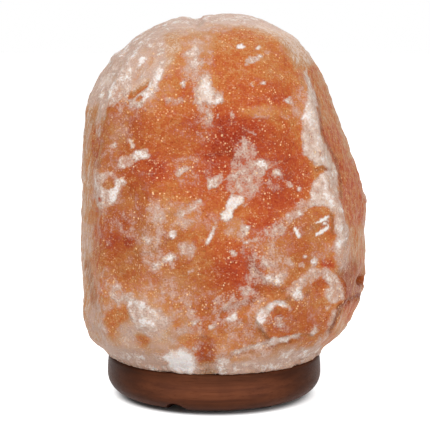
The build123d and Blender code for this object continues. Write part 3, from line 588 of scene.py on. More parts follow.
# Bleached or coloured bands: depth, half-width, softness, line
COLOUR_BANDS = [
    (0.5, 5, 6, [(-40.5, 190.5), (-23.5, 199), (-2, 203), (19, 203), (38, 196), (48, 182)]),
    (0.8, 6, 4, [(-64, 152), (-60, 165), (-47, 180), (-38, 186), (-25.5, 186.5), (-33, 175), (-44, 168)]),
    (1.9, 0.3, 1.4, [(-36, 179), (-39.5, 173), (-42, 167.5)]),
    (1.8, 0.3, 1.4, [(-31.5, 183), (-33.5, 176), (-36.5, 171)]),
    (2.9, 2.0, 3, [(-53, 150.5), (-45, 153)]),
    (1.2, 2.5, 5, [(-70, 150), (-70, 92), (-69, 36.5)]),
    (0.8, 2.5, 4, [(-56, 22), (-30, 15), (0, 12), (30, 15), (56, 22)]),
    (2.4, 5.0, 3, [(55, 167), (60, 150), (63, 140)]),
    (2.9, 5.0, 3, [(63.5, 138), (70.5, 119.5), (74, 103.5), (76, 94)]),
    (1.8, 1.0, 2, [(56, 170.5), (62.5, 156.5), (67.5, 143), (73, 127)]),
    (1.8, 5.0, 5, [(76, 82.5), (75.5, 70.5)]),
    (3.0, 3.5, 3, [(73, 65), (71.5, 50.5)]),
]
# White crust, and a few painted highlights and glints: strength, softness of its edge, outline; the later
# ones lie over the earlier ones
PATCHES = [
    # bleached shoulder and crown
    (0.86, 6, [(-65, 158), (-61, 168), (-50.5, 181), (-40, 190), (-29, 194), (-26, 183), (-30, 172),
        (-38, 163), (-50, 156), (-58, 154)]),
    (1.18, 3.5, [(-53.5, 179.5), (-49, 180.5), (-44.5, 179.5), (-44, 175.5), (-45.5, 171.5), (-49.5, 171.5),
        (-53, 173.5)]),
    (1.1, 3, [(-60, 168), (-56, 170), (-53, 166), (-55, 161), (-59, 162)]),
    (1.05, 1.6, [(-41, 189), (-38.5, 188), (-36, 183), (-32, 180.5), (-33.5, 179), (-38, 181.5),
        (-40, 185)]),
    (0.45, 2.0, [(-42, 178), (-39, 180), (-37, 174), (-40, 168), (-43, 164), (-44, 168)]),
    (0.4, 2.0, [(-35, 184), (-31.5, 183), (-31, 177), (-34, 173), (-36, 177)]),
    (0.95, 2.5, [(-36.5, 185.5), (-34, 181), (-38, 175), (-43, 170), (-40, 176), (-38, 182)]),
    (1.1, 2, [(-26, 178), (-29, 170), (-35, 163), (-32, 170), (-28, 177)]),
    (1.1, 3, [(-63.5, 160), (-60, 168), (-55, 172), (-57, 163)]),
    (0.92, 3.5, [(-50, 174.5), (-44, 182), (-37.5, 187.5), (-30, 192), (-22.5, 195), (-12.5, 197),
        (-5, 198), (14, 198), (26, 197.5), (39, 192), (48.5, 186), (52, 178.5), (56, 180), (48, 194),
        (35, 203), (20, 208), (-8, 207), (-25, 204), (-40, 196), (-52, 186), (-60, 174)]),
    # streak at the upper left, and the bloom above it to the right
    (1, 1.2, [(-26, 174.5), (-29.5, 166), (-30.5, 161), (-34.5, 158.5), (-37, 155), (-38.5, 152.5),
        (-44, 153), (-45.5, 156), (-42.5, 159), (-38.5, 162), (-35, 162.5), (-33, 167), (-29, 173.5)]),
    (-0.3, 0.8, [(-34, 168), (-35.5, 163), (-39, 161), (-43, 158), (-45.5, 157), (-44.5, 160.5), (-40, 164),
        (-36.5, 168)]),
    (0.1, 0.8, [(-41, 157.5), (-39, 159), (-37.5, 158), (-40, 156)]),
    (0.62, 5, [(-16.5, 179.5), (-15, 184), (-9.5, 185), (-5.5, 183), (-6.5, 178.5), (-9.5, 174.5),
        (-13, 175.5)]),
    (0.95, 2.5, [(-15.5, 181.5), (-11, 183.5), (-7, 182.5), (-8, 179.5), (-12.5, 179.5)]),
    (0.85, 2, [(-13, 177.5), (-8.5, 179), (-7.5, 176), (-11.5, 174.5)]),
    # white triangle, and patches beside and below it
    (0.9, 3, [(-6, 173), (-3, 170), (0.5, 163.5), (5, 160), (6, 155), (0, 153.5), (-7.5, 154), (-11, 154.5),
        (-10, 162), (-7.5, 168.5)]),
    (1.15, 2, [(-5.5, 169.5), (-2, 164), (0, 159), (-1, 155.5), (-7.5, 156), (-9, 161), (-7.5, 165)]),
    (0.85, 1.5, [(-18.5, 165.5), (-16, 167), (-14.5, 164.5), (-16, 162.5), (-18, 163.5)]),
    (0.5, 2.5, [(-25.5, 157), (-18, 158), (-11.5, 159), (-11.5, 155.5), (-18, 154.5), (-24.5, 154)]),
    (0.55, 3.5, [(-9, 153), (-0.5, 153.5), (0, 146), (-5, 144), (-8, 148)]),
    # streak at the left edge, patches on the shoulder, and two flecks below
    (0.85, 2.2, [(-58.5, 156.5), (-56.5, 153.5), (-59, 147), (-60, 137.5), (-63, 137), (-62, 145),
        (-61, 152.5)]),
    (0.6, 3.5, [(-67.5, 162), (-61, 159), (-61, 153.5), (-64.5, 153.5), (-67.5, 156.5)]),
    (0.75, 3, [(-50.5, 179), (-45.5, 179.5), (-46, 173.5), (-50, 173)]),
    (0.7, 2, [(-38.5, 185), (-36, 186.5), (-35, 181), (-38, 180)]),
    (1, 0.8, [(-55.5, 133.5), (-52, 134), (-51.5, 131.5), (-54.5, 131)]),
    (1, 0.8, [(-45.5, 136), (-43.5, 135), (-42, 131), (-44, 131)]),
    # branch
    (0.92, 1.2, [(-49.5, 126), (-45, 127.5), (-41, 129.5), (-36, 130.5), (-34, 127), (-36, 124.5),
        (-40.5, 125), (-43, 123), (-45, 121), (-48, 119.5), (-50.5, 121.5)]),
    # ring, and a patch to its right
    (0.94, 1.2, [(-63.5, 119.5), (-61.5, 117.5), (-59, 117.5), (-56.5, 119), (-54, 117.5), (-56, 116),
        (-54, 114), (-51.5, 114.5), (-48, 115.5), (-46, 112.5), (-49, 110.5), (-51, 107), (-53, 102),
        (-55.5, 100), (-60, 98.5), (-62, 100), (-63, 103), (-64, 109), (-63.5, 114)]),
    (0.1, 0.8, [(-58.5, 114.5), (-55.5, 116), (-52.5, 114), (-52.5, 111), (-55.5, 109.5), (-59, 110.5)]),
    (0.2, 0.7, [(-61.5, 105), (-59.5, 105), (-59, 102.5), (-61.5, 102.5)]),
    (0.26, 4, [(-19, 125), (-8.5, 127), (-6.5, 119.5), (-15, 113), (-21, 114.5)]),
    (0.9, 1.2, [(-15, 122), (-13, 120.5), (-16, 118), (-19, 115.5), (-20.5, 117.5), (-18, 120.5)]),
    # bloom across the middle
    (0.42, 6, [(-35, 102.5), (-26, 104.5), (-18, 101.5), (-7.5, 105.5), (-5.5, 98.5), (-11.5, 91),
        (-19, 85.5), (-28.5, 85.5), (-36, 92)]),
    (0.85, 2, [(-6.5, 103.5), (-9.5, 99), (-15, 95.5), (-19.5, 93.5), (-20.5, 95.5), (-15, 99),
        (-10, 102.5)]),
    (0.8, 2, [(-32, 101.5), (-28.5, 100.5), (-27, 95.5), (-28, 90.5), (-31.5, 92), (-32.5, 97)]),
    # a painted glint
    (1.25, 0.7, [(-23.5, 87), (-20.5, 87.5), (-20, 84.5), (-21.5, 83), (-23.5, 84.5)]),
    (0.44, 5, [(-40, 84.5), (-31.5, 84.5), (-25.5, 80.5), (-19.5, 75), (-21.5, 66), (-29.5, 64.5),
        (-37, 70.5)]),
    (0.88, 1.4, [(-33, 66.5), (-31.5, 70.5), (-27, 73.5), (-21.5, 76), (-20, 74), (-25, 70.5),
        (-29.5, 67)]),
    (0.85, 2, [(-37.5, 83.5), (-34, 84.5), (-32.5, 81), (-35.5, 79)]),
    (0.55, 4, [(-19.5, 80), (-12.5, 81.5), (-9.5, 77), (-12.5, 72.5), (-18, 73)]),
    (0.95, 1, [(-14, 67), (-11, 67.5), (-10.5, 65.5), (-13, 64.5)]),
    (1.15, 0.7, [(1, 91.5), (0.5, 87.5), (-1, 83.5), (-3, 80.5), (-5, 79), (-4, 82), (-2, 85.5),
        (-0.5, 89.5)]),
    # frost on the heart
    (0.46, 4, [(12, 132), (21.5, 133), (23.5, 126), (29, 122), (28, 116.5), (23, 113), (23, 105.5),
        (16, 103), (9, 105), (6, 111), (7.5, 117.5), (9.5, 123.5)]),
    (0.7, 3, [(12.5, 120.5), (19, 121.5), (21, 114), (20, 108), (14, 107), (9, 109), (8.5, 115.5)]),
    (0.95, 1.4, [(21, 123.5), (26, 125), (28.5, 121.5), (27.5, 117.5), (25.5, 117), (23, 120.5)]),
    (0.85, 2, [(-3, 115.5), (0.5, 116), (4, 118), (6.5, 114), (1, 110), (-2.5, 108.5), (-4, 111)]),
    (0.5, 2.5, [(11.5, 135), (15.5, 137), (20, 135.5), (21.5, 129), (14, 127), (10.5, 130)]),
    # white foot of the frost, and flecks right of it
    (1.25, 0.9, [(8.5, 106), (11.5, 105.5), (15.5, 105.5), (16, 102), (11.5, 99), (9, 96.5), (9.5, 93.5),
        (6.5, 92), (3.5, 93), (3.5, 96.5), (6.5, 99.5), (7.5, 103)]),
    (0.9, 0.8, [(16, 102), (18, 101), (17, 99.5), (15.5, 100.5)]),
    (0.9, 0.9, [(30.5, 118.5), (34.5, 119.5), (35.5, 116.5), (32, 115.5)]),
    (0.9, 0.9, [(36.5, 114), (40, 113.5), (42.5, 110.5), (39, 110)]),
    (0.8, 0.8, [(28.5, 116), (30, 114.5), (29.5, 112), (28, 112.5)]),
    (0.8, 0.8, [(44, 110.5), (46, 110), (46, 108), (44, 108.5)]),
    # flecks from the top down to the middle
    (1.15, 0.7, [(11.5, 186), (15, 186.5), (17, 184.5), (15.5, 183.5), (12, 184)]),
    (1.15, 0.6, [(22.5, 184), (24, 186), (25, 184), (23.5, 183)]),
    (0.9, 1.2, [(16.5, 177.5), (19, 179.5), (23.5, 179.5), (24.5, 178), (20.5, 176.5), (18, 175),
        (16.5, 175.5)]),
    (0.95, 0.7, [(22.5, 181), (24.5, 181), (26, 179.5), (24, 179)]),
    (0.6, 1.6, [(26.5, 183), (29, 183), (29.5, 180.5), (27, 181)]),
    (0.9, 1, [(18.5, 166.5), (21, 166.5), (21, 164), (19.5, 164)]),
    (0.85, 1, [(24, 166), (27, 166), (27.5, 164.5), (25, 164.5)]),
    (0.95, 1.2, [(36.5, 156), (38.5, 158), (41.5, 159), (42.5, 156.5), (41.5, 154), (39, 155.5)]),
    (0.3, 2.6, [(17.5, 149), (23.5, 149.5), (27, 148.5), (25.5, 147), (19, 146.5)]),
    (0.5, 2.0, [(34, 150), (37.5, 149.5), (41, 147), (38.5, 146), (35, 148)]),
    (0.65, 1.2, [(8, 150), (10, 150), (11, 147.5), (8.5, 147.5)]),
    (0.85, 1, [(17.5, 140.5), (21.5, 140), (22.5, 138.5), (18.5, 138.5)]),
    (1.2, 0.6, [(1, 149), (2.5, 149), (2.5, 147.5), (1, 147.5)]),
    # ridge at the right, and the facet beside it
    (0.78, 5, [(64, 90), (71.5, 90), (72, 76), (69.5, 66), (65, 66), (64.5, 76)]),
    (1.06, 1.8, [(49, 173), (50.5, 168.5), (52, 163), (54, 157.5), (55, 150), (56, 142), (58, 135),
        (60.5, 130), (63, 125), (65, 120.5), (61.5, 119.5), (58.5, 121), (53.5, 121.5), (50.5, 125.5),
        (47.5, 128.5), (46.5, 132), (46, 136.5), (47, 140), (47, 143.5), (46.5, 147), (47.5, 150),
        (49, 154.5), (50, 158.5), (49.5, 163), (47.5, 171.5)]),
    (1.02, 1.8, [(58.5, 118.5), (61.5, 119.5), (65, 120.5), (65.5, 114), (66, 106), (67.5, 101.5),
        (68.5, 97), (70, 92), (70.5, 86.5), (69.5, 81), (67.5, 77), (65.8, 80), (64.8, 84.5), (63.8, 90),
        (63.5, 96), (60.5, 99.5), (53, 100.5), (50.5, 103), (51.5, 109), (53, 113.5), (55.5, 117)]),
    (0.3, 0.8, [(55.5, 129.5), (57, 129.5), (57, 126.5), (56, 126.5)]),
    (0.36, 3.5, [(55, 172), (59.5, 163), (62.2, 154.5), (65, 146), (68.2, 137.5), (71.5, 129), (74, 120.6),
        (80, 124), (74, 142), (66, 160), (58, 174)]),
    (0.4, 3.5, [(77, 112), (79.3, 103), (79, 92), (78, 82), (86, 82), (86, 104), (80, 116)]),
    # rim and face of the boss
    (0.74, 2.4, [(52.5, 101), (47, 101.5), (44, 98.5), (41.5, 95), (37, 91.5), (33, 88), (30, 84),
        (28, 80.5), (26, 77), (26, 72.5), (28, 67.5), (23.5, 68), (21, 73), (22.5, 78.5), (25, 82.5),
        (27.5, 87), (31.5, 91.5), (36.5, 94.5), (40.5, 98), (42.5, 101), (46, 104), (50.5, 104)]),
    (0.8, 2.2, [(51.8, 104.1), (46.6, 103), (43.1, 99.8), (40.9, 96.3), (38.6, 93.5), (34, 91.2),
        (36.3, 86.5), (39.7, 88.8), (43.1, 91.4), (46.1, 95.2), (49.5, 98.1), (52.4, 101)]),
    (0.84, 2.2, [(34.5, 91.5), (30.5, 90), (27.7, 86.6), (24.8, 81.4), (22.5, 77.4), (22, 72), (26, 70.5),
        (28.2, 75.7), (29.9, 80.3), (32.8, 83.1), (36.3, 86)]),
    (0.62, 4, [(21, 75), (27.5, 71.5), (33, 71.5), (37, 68), (38.5, 64), (35.5, 58), (28.5, 58), (25, 63.5),
        (21.5, 67.5)]),
    (0.98, 2.2, [(27, 64), (30.5, 63), (35, 65), (37, 64.5), (36.5, 61), (33.5, 60), (29, 60), (27, 61.5)]),
    (0.5, 3, [(20, 78), (24, 84), (30, 90), (34, 92), (37, 88), (32, 82), (28, 76), (26, 70), (21, 70)]),
    (0.15, 4, [(38, 88), (44, 94), (52, 98), (60, 97), (62, 90), (54, 82), (44, 80)]),
    (0.25, 3, [(50, 82), (60, 84), (64, 78), (60, 70), (52, 72)]),
    # painted highlights: bright bars on the boss, with less crust between them, and flecks left of it and
    # below
    (1.5, 0.4, [(52.8, 90.4), (53.2, 91.6), (60.6, 95.5), (61.4, 94.2), (57, 91.8)]),
    (1.3, 0.4, [(56.2, 89.4), (56.6, 90.3), (61, 92.6), (61.2, 91.7)]),
    (1.5, 0.4, [(53.8, 84.2), (54, 86), (60.6, 90.2), (61.3, 89), (58.4, 86.2)]),
    (1.4, 0.4, [(42, 89.2), (43.4, 89.4), (46, 83.8), (44.2, 83.2)]),
    (0.1, 0.5, [(52.6, 88.6), (56, 89.2), (58, 90.2), (56, 87.8), (53, 86.8)]),
    (0.5, 4, [(7.5, 92.5), (16, 92.5), (17.5, 86.5), (15, 82), (9.5, 82), (6.5, 86.5)]),
    (1.12, 0.8, [(16.5, 89.5), (18.5, 90), (18.5, 87), (17.5, 84.5), (16, 85)]),
    (0.95, 0.7, [(15.5, 81), (18, 82), (20, 83), (23, 83.5), (23, 82), (19.5, 81.5), (16.5, 80)]),
    (1.18, 0.8, [(6.5, 77.5), (9.5, 77.5), (12, 75), (11.5, 73), (9, 74)]),
    (0.9, 1.3, [(37, 72.5), (40.5, 73), (42.5, 70.5), (43.5, 68.5), (41, 68), (38, 70)]),
    # a painted glint
    (1.25, 0.5, [(47, 74.5), (49.5, 74.5), (49.5, 73), (47.5, 73)]),
    (1, 1, [(51, 72), (53.5, 73.5), (55.5, 71.5), (54, 69), (51, 69.5)]),
    (0.75, 1.2, [(44, 69.5), (47.5, 70), (48, 67.5), (45, 67)]),
    # curled rim
    (0.62, 2, [(37, 55.5), (40.5, 58.5), (44, 61.5), (48, 65), (50.5, 60.5), (47, 57), (43, 55),
        (39, 52.5)]),
    (0.86, 2.2, [(48, 65), (51, 68), (55, 68), (60.5, 67.5), (64.5, 64.5), (67.5, 60), (69, 55.5),
        (68.5, 50), (64.5, 49), (61, 50), (58.5, 52.5), (59, 56), (61.5, 57), (61, 59.5), (59, 61.5),
        (55.5, 62.5), (52.5, 60.5), (50.5, 59)]),
    # white fork, and flecks around it
    (1.14, 0.9, [(21.5, 42), (24, 45), (27.5, 48), (32, 50), (36, 50.5), (38.5, 48.5), (39, 46),
        (36.5, 46.5), (34.5, 48), (32, 47), (29.5, 43.5), (27.5, 40), (25.5, 37.5), (24, 39)]),
    (1.0, 0.8, [(36.5, 50), (39, 49.5), (41.5, 45.5), (40.2, 44.5), (38, 47)]),
    (1.18, 0.7, [(6.5, 40.5), (9, 42.5), (11.5, 44), (12.5, 41.5), (11.5, 39.5), (9, 39), (7, 39.5)]),
    (0.7, 1.5, [(13, 56.5), (17, 58), (20.5, 57), (21.5, 54), (18, 53), (14, 54.5)]),
    (0.65, 1.5, [(8, 51.5), (10.5, 55), (12, 53), (10.5, 49.5), (8.5, 49)]),
    (1, 1, [(41.5, 53), (44, 56), (47, 54.5), (47, 51), (44.5, 50)]),
    (0.62, 2.5, [(31.5, 41), (35, 43), (38.5, 41), (38, 37.5), (33.5, 36.5), (30.5, 38)]),
    (0.75, 1.2, [(58.5, 47.5), (62, 48), (62, 45.5), (59.5, 45)]),
    (0.62, 2, [(60, 41), (63, 45), (65, 45.5), (63, 39), (60.5, 36)]),
    (0.55, 2.5, [(55.5, 31.5), (60, 34), (59.5, 30.5), (55, 26)]),
    # ledge, and the bloom under it
    (1.06, 1.2, [(8.5, 22.5), (14, 25), (21, 26.5), (29.5, 29.5), (37, 31.5), (45.5, 33), (46, 31),
        (39, 29), (30.5, 26.5), (22.5, 24.5), (15.5, 22.5), (9.5, 21)]),
    (0.6, 3, [(33, 21), (35.5, 24), (40.5, 25), (44.5, 23), (38, 17.5), (33.5, 17.5)]),
    (0.65, 2.5, [(0.5, 21), (5.5, 22.5), (9.5, 21), (9.5, 16.5), (3, 14), (0.5, 16.5)]),
    (0.5, 4, [(11.5, 22), (22.5, 23), (25.5, 19), (21, 14), (12.5, 13.5)]),
    # bleached foot at the lower left, and flecks right of it
    (0.72, 5, [(-56.5, 59), (-52, 60.5), (-47.5, 56.5), (-43, 52.5), (-44, 46), (-50, 47), (-54, 50.5),
        (-57, 54)]),
    (0.08, 3, [(-59, 39), (-57, 44), (-52.5, 46.5), (-46.5, 47.5), (-44.5, 44), (-47.5, 39), (-51.5, 37),
        (-53.5, 30.5), (-57, 30.5)]),
    (1.1, 1.4, [(-43, 49.5), (-40.5, 51), (-36.5, 49.5), (-36, 46.5), (-39, 45), (-42.5, 46)]),
    (1.02, 4, [(-45, 50), (-35, 46.5), (-28.5, 45), (-24.5, 40), (-25.5, 34), (-34, 33.5), (-40.5, 35),
        (-44.5, 40)]),
    (0.72, 4, [(-65, 47.5), (-61, 43), (-57, 34.5), (-53.5, 27.5), (-58.5, 29), (-63.5, 36), (-65.5, 42)]),
    (0.1, 1.6, [(-42, 34), (-38, 32), (-34, 30), (-33.5, 27.5), (-37, 27), (-40.5, 30)]),
    (0.95, 1, [(-30, 33.5), (-27.5, 34), (-27, 31), (-29.5, 30.5)]),
    (1.1, 0.8, [(-12.5, 39), (-9.5, 39.5), (-9, 37.5), (-11.5, 37)]),
    (1.15, 0.8, [(-3.5, 37), (-0.5, 37.5), (0, 35), (-2.5, 34.5)]),
    (0.85, 1.2, [(-25.5, 31.5), (-23, 30.5), (-19, 26.5), (-22.5, 26.5)]),
    # pale hem over the sawn edge, and two patches on the left edge
    (0.98, 4, [(-55, 24), (-40, 18.5), (-24, 15.5), (-9, 15.5), (-8, 10.5), (-30, 11.5), (-55, 18)]),
    (0.84, 4, [(0, 17), (12, 17), (28, 19), (44, 23), (56, 30), (57, 22), (40, 15), (20, 11.5), (0, 10.5)]),
    (1.1, 1.2, [(-50, 22), (-44, 21.5), (-40, 19.5), (-45, 18.5)]),
    (1.15, 1.2, [(-36, 18), (-31, 19), (-27, 17), (-32, 15.5)]),
    (1.15, 1.2, [(3, 19), (8, 20), (10, 17.5), (5, 16.5)]),
    (1.1, 1.2, [(13, 17), (19, 18.5), (21, 16.5), (16, 15)]),
    (1.1, 1.2, [(36, 22), (41, 24.5), (43, 22.5), (38, 20)]),
    (1.05, 1.2, [(50, 33), (54, 37), (55, 34), (52, 31)]),
    (1.36, 4, [(-27, 20), (-22.5, 24), (-16, 24.5), (-10.5, 21), (-10, 15.5), (-12.5, 11.5), (-19, 11.5),
        (-24, 14)]),
    (0.85, 4, [(-54, 26), (-45.5, 24.5), (-36.5, 22.5), (-28.5, 20), (-28, 13), (-39, 14.5), (-49, 18.5)]),
    (0.6, 2.5, [(-69, 92), (-64.5, 91), (-63, 82.5), (-63.5, 76), (-67.5, 75.5), (-69, 83.5)]),
    (0.5, 1.5, [(-62.5, 59), (-61, 58), (-60.5, 50.5), (-62, 47.5)]),
    # dark oval pit
    (0.2, 3, [(-8.5, 29), (-4, 30), (0.5, 27.5), (1.5, 22), (0, 15.5), (-4, 13), (-8.5, 15), (-9.5, 22)]),
]
# Pink bloom under the crust: strength, across, up, half-width, half-height
BLOOM = [
    (0.12, -33, 84, 22, 26),
    (0.24, -58, 112, 12, 44),
    (0.24, -40, 94, 20, 14),
    (0.18, -52, 140, 16, 10),
    (0.22, -52, 96, 12, 14),
    (0.30, -26, 50, 28, 14),
    (0.46, -42, 40, 20, 16),
    (0.42, 0, 20, 62, 9),
    (0.46, -60, 36, 9, 18),
    (0.36, 12, 42, 24, 17),
    (0.44, 27, 72, 13, 17),
    (0.10, 46, 84, 17, 16),
    (0.14, 46, 42, 20, 18),
    (0.30, -12, 119, 13, 9),
    (0.20, -8, 141, 12, 7),
    (0.16, 27, 151, 14, 4),
    (0.54, -9, 184, 10, 8),
    (0.40, -9, 173, 9, 13),
    (0.30, -58, 56, 8, 14),
    (0.30, -20, 28, 11, 8),
    (0.56, -48, 171, 25, 22),
    (0.52, -18, 198, 30, 8),
    (0.48, 30, 201, 28, 8),
    (0.08, 36, 184, 16, 8),
    (0.16, -39, 122, 9, 8),
    (0.14, -52, 96, 10, 8),
    (0.12, 46, 35, 11, 7),
    (0.22, -4, 92, 14, 8),
    (0.22, 30, 116, 10, 10),
    (0.30, 46, 158, 5, 16),
    (0.36, -16, 40, 16, 12),
    (0.16, -68, 90, 5, 60),
    (0.20, 66, 30, 10, 14),
]
# Brown depths of the salt, and painted shade in creases and pits and under ledges: strength, half-width,
# line
BROWN_AND_PAINTED_SHADES = [
    (0.30, 13.0, [(-52, 142), (-48, 120), (-46, 96), (-48, 76)]),
    (0.24, 12.0, [(-30, 82), (-22, 66), (-4, 60), (2, 48)]),
    (0.18, 12.0, [(45, 86), (40, 70), (45, 40), (30, 30)]),
    (0.14, 10.0, [(-30, 132), (0, 138), (30, 130), (34, 112)]),
    (0.42, 4.2, [(-4.5, 26.5), (-3.5, 17)]),
    (0.5, 0.7, [(51, 163), (55, 157), (56, 149.5), (57, 139), (61, 131.5), (64.5, 125), (67, 114),
        (67.5, 105.5)]),
    (0.5, 1.0, [(54, 119.5), (58.5, 120), (62, 120.5)]),
    (0.3, 1.2, [(50, 100.5), (45.5, 99.5), (42, 95.5), (38, 92), (33.5, 89)]),
    (0.55, 1.2, [(39, 51), (41.5, 54), (44, 57)]),
    (0.6, 0.9, [(49, 53), (51.5, 55)]),
    (0.8, 1.0, [(70, 50), (66, 45.5), (63.5, 39.5), (61, 33.5)]),
    (0.45, 6.0, [(72.5, 65.5), (73, 56)]),
    (0.85, 0.8, [(70.5, 51), (75, 52.3), (80, 53.5)]),
    (0.55, 1.1, [(3, 43.5), (12.5, 47.5), (21.5, 50.5)]),
    (0.45, 3.0, [(20, 70.5), (22.5, 64), (24, 56)]),
    (0.35, 3.0, [(2, 129), (7.5, 131), (11.5, 126)]),
    (0.2, 0.7, [(-44.5, 157.5), (-40.5, 162), (-35, 165.5)]),
    (0.6, 0.8, [(8.5, 20.5), (16, 22), (23.5, 24), (32, 26), (40.5, 28.5)]),
    (0.5, 1.2, [(28.5, 46.5), (33, 45.5), (35.5, 42)]),
    (0.5, 1.0, [(25.5, 67.5), (29.5, 69.5), (35, 67.5)]),
    (0.45, 1.0, [(23, 66.5), (25.5, 63), (26.5, 58.5)]),
    (0.5, 0.8, [(63, 86), (63, 92), (62, 96)]),
    (0.4, 1.2, [(52.5, 89), (59.5, 92)]),
    (0.4, 2.0, [(-62.5, 130), (-62, 121.5)]),
    (0.4, 1.5, [(-67, 70.5), (-64.5, 56), (-62.5, 45.5)]),
]


def spread(across, up, centre_across, centre_up, half_width, half_height):
    """1 in the middle of an oval patch, falling away softly outside it."""
    share = np.hypot((across - centre_across) / half_width, (up - centre_up) / half_height)
    return 1 - eased(share, 0.45, 1.35)


DRIFT = (11.0, 2.2)  # size and height in millimetres of the waver in the colours' borders
TATTER = (3.2, 0.8)  # the same of the crust's torn edges
FRONT_COLOUR = (-0.30, 0.02)  # how far round the stone the sheet's marks fade out and are full
PLAIN_CRUST = 0.3
MIDDLE_STARTS = (25, 75)  # mm above the table, where the back's coloured middle begins and is full
MIDDLE_ENDS = (140, 195)  # and where it fades out

spots = places(stone.data)
across, up = on_sheet(spots)
drifted = (across + uneven(spots, DRIFT, 3, 4.4), up + uneven(spots, DRIFT, 3, 7.9))
half_drifted = ((across + drifted[0]) / 2, (up + drifted[1]) / 2)
ragged, ragged_up = uneven(spots, TATTER, 2, 21.3), uneven(spots, TATTER, 2, 25.7)

depth = np.full(len(spots), PLAIN_DEPTH)
for *oval, zone_depth in COLOUR_ZONES:
    depth += spread(*drifted, *oval) * (zone_depth - depth)
for band_depth, half_width, soft, path in COLOUR_BANDS:
    share = 1 - eased(away_from(path, *half_drifted), half_width, half_width + soft)
    depth += share * (band_depth - depth)
crust_and_highlights = np.zeros(len(spots))
for strength, *oval in BLOOM:
    crust_and_highlights = np.maximum(crust_and_highlights, strength * spread(*drifted, *oval))
for strength, soft, outline in PATCHES:
    tatter = min(soft * soft, 1.0)  # the sharpest marks keep straight edges
    stamp(crust_and_highlights, strength, soft, outline, across + tatter * ragged, up + tatter * ragged_up)
# painted shade in creases, pits and under ledges, mixed with brown depths
brown_and_shade = np.zeros(len(spots))
for strength, half_width, path in BROWN_AND_PAINTED_SHADES:
    gap = away_from(path, across + ragged, up + ragged_up) / half_width
    brown_and_shade = np.maximum(brown_and_shade, strength * (1 - eased(gap, 0.5, 1.8)))

# The sides and the back are bleached towards their edges and coloured in the middle, like the front
front = eased(toward_eye(spots, of_corners(stone.data, "normal")), *FRONT_COLOUR)
wild = lumps(spots, 38.0, 3, 12.5)
middle = eased(spots[:, 2], *MIDDLE_STARTS) * (1 - eased(spots[:, 2], *MIDDLE_ENDS))
back_depth = 1.0 + 2.2 * middle + 1.5 * wild
back_crust = 0.30 + 0.9 * eased(lumps(spots, 9.0, 4, 15.1) - 0.25 * middle, 0.18, 0.5) - 0.25 * middle
back_brown = 0.5 * eased(lumps(spots, 14.0, 3, 18.6), 0.25, 0.6)
depth = back_depth + front * (depth - back_depth)
crust_and_highlights = back_crust + front * (crust_and_highlights - back_crust)
brown_and_shade = back_brown + front * (brown_and_shade - back_brown)
depth[in_bore(spots)] = PLAIN_DEPTH
crust_and_highlights[in_bore(spots)] = PLAIN_CRUST

marks = stone.data.color_attributes.new("marks", "FLOAT_COLOR", "POINT")
levels = np.stack([depth / DEEPEST, crust_and_highlights, brown_and_shade, np.ones(len(spots))], axis=1)
marks.data.foreach_set("color", levels.ravel())

# Colours of the salt from bleached to deep, as seen in plain daylight
BLEACHED = seen(216, 190, 173)
SAND = seen(196, 149, 112)
OCHRE = seen(197, 128, 73)
ORANGE = seen(190, 98, 51)
RED_ORANGE = seen(182, 78, 46)
DEEP_RED = seen(158, 52, 33)
BY_DEPTH = (BLEACHED, SAND, OCHRE, ORANGE, RED_ORANGE, DEEP_RED)
BLOOM_PINK = seen(204, 168, 152)
CRUST_CREAM = seen(221, 195, 180)
WHITE_CRUST_AND_HIGHLIGHT = seen(242, 235, 232)
# brown of the depths, also the colour of the painted shade
BROWN_AND_SHADE_COLOUR = seen(112, 46, 24)
# colour of the painted glints
GLINT_PAINT = seen(255, 218, 170)
GRAIN_DARK = seen(120, 40, 18)
SALT_SHEEN = seen(255, 190, 140)
BEDDING = radians(-17)  # how far the stone's bedding leans from upright
STREAK = (1.6, 2.6, 17.0)  # mm, size of a streak across, into and along the bedding
CRACK = (16.0, 12.0, 7.0)  # mm, spacing of the healed cracks
COARSE, MEDIUM, FINE = 13.0, 3.6, 0.9  # mm, the three sizes of the salt's unevenness
LACE, CLUSTER, PATCHY = 7.0, 8.0, 4.0  # mm, size of the places with crust, painted glints and grit
SPECK, CRYSTAL, GRIT = 1.6, 1.15, 0.95  # mm, size of the crystals

salt = Finish("rock_salt", 0.4, Specular_IOR_Level=0.05, Specular_Tint=SALT_SHEEN,
              Subsurface_Weight=0.12, Subsurface_Scale=0.002, Subsurface_Radius=(1.0, 0.4, 0.25))
marked = salt.add("ShaderNodeVertexColor", layer_name="marks").outputs[0]
depth_mark = salt.part(marked, "Red")
crust_and_highlight_mark = salt.part(marked, "Green")
brown_and_shade_mark = salt.part(marked, "Blue")
coarse = salt.grain(COARSE, 4.0)
medium = salt.grain(MEDIUM, 4.0)
fine = salt.grain(FINE, rough=0.6)

# steep streaks where the stone split along its bedding, on its two ends
leaning = {"Vector": salt.place, "Angle": BEDDING}
bedded = salt.add("ShaderNodeVectorRotate", leaning, rotation_type="Y_AXIS").outputs[0]
streaks = salt.grain(1.0, 3.0, salt.stretched(bedded, *STREAK), 0.6)
on_end = salt.rise(salt.maths("ABSOLUTE", salt.part(salt.facing, "X")), 0.5, 0.8)
streak_tone = salt.times(on_end, salt.rise(streaks, 0.34, 0.66, -0.18, 0.14))
streak_pale = salt.times(on_end, salt.rise(streaks, 0.42, 0.30, -0.08, 0.3))

# depth of colour, with the stone's own unevenness at three sizes
tone = salt.plus(depth_mark, salt.swing(coarse, 0.07), salt.swing(medium, 0.10),
                 salt.swing(fine, 0.14, 0.2, 0.8), streak_tone)
colour = salt.ramp(tone, [(step / DEEPEST, tint) for step, tint in enumerate(BY_DEPTH)])

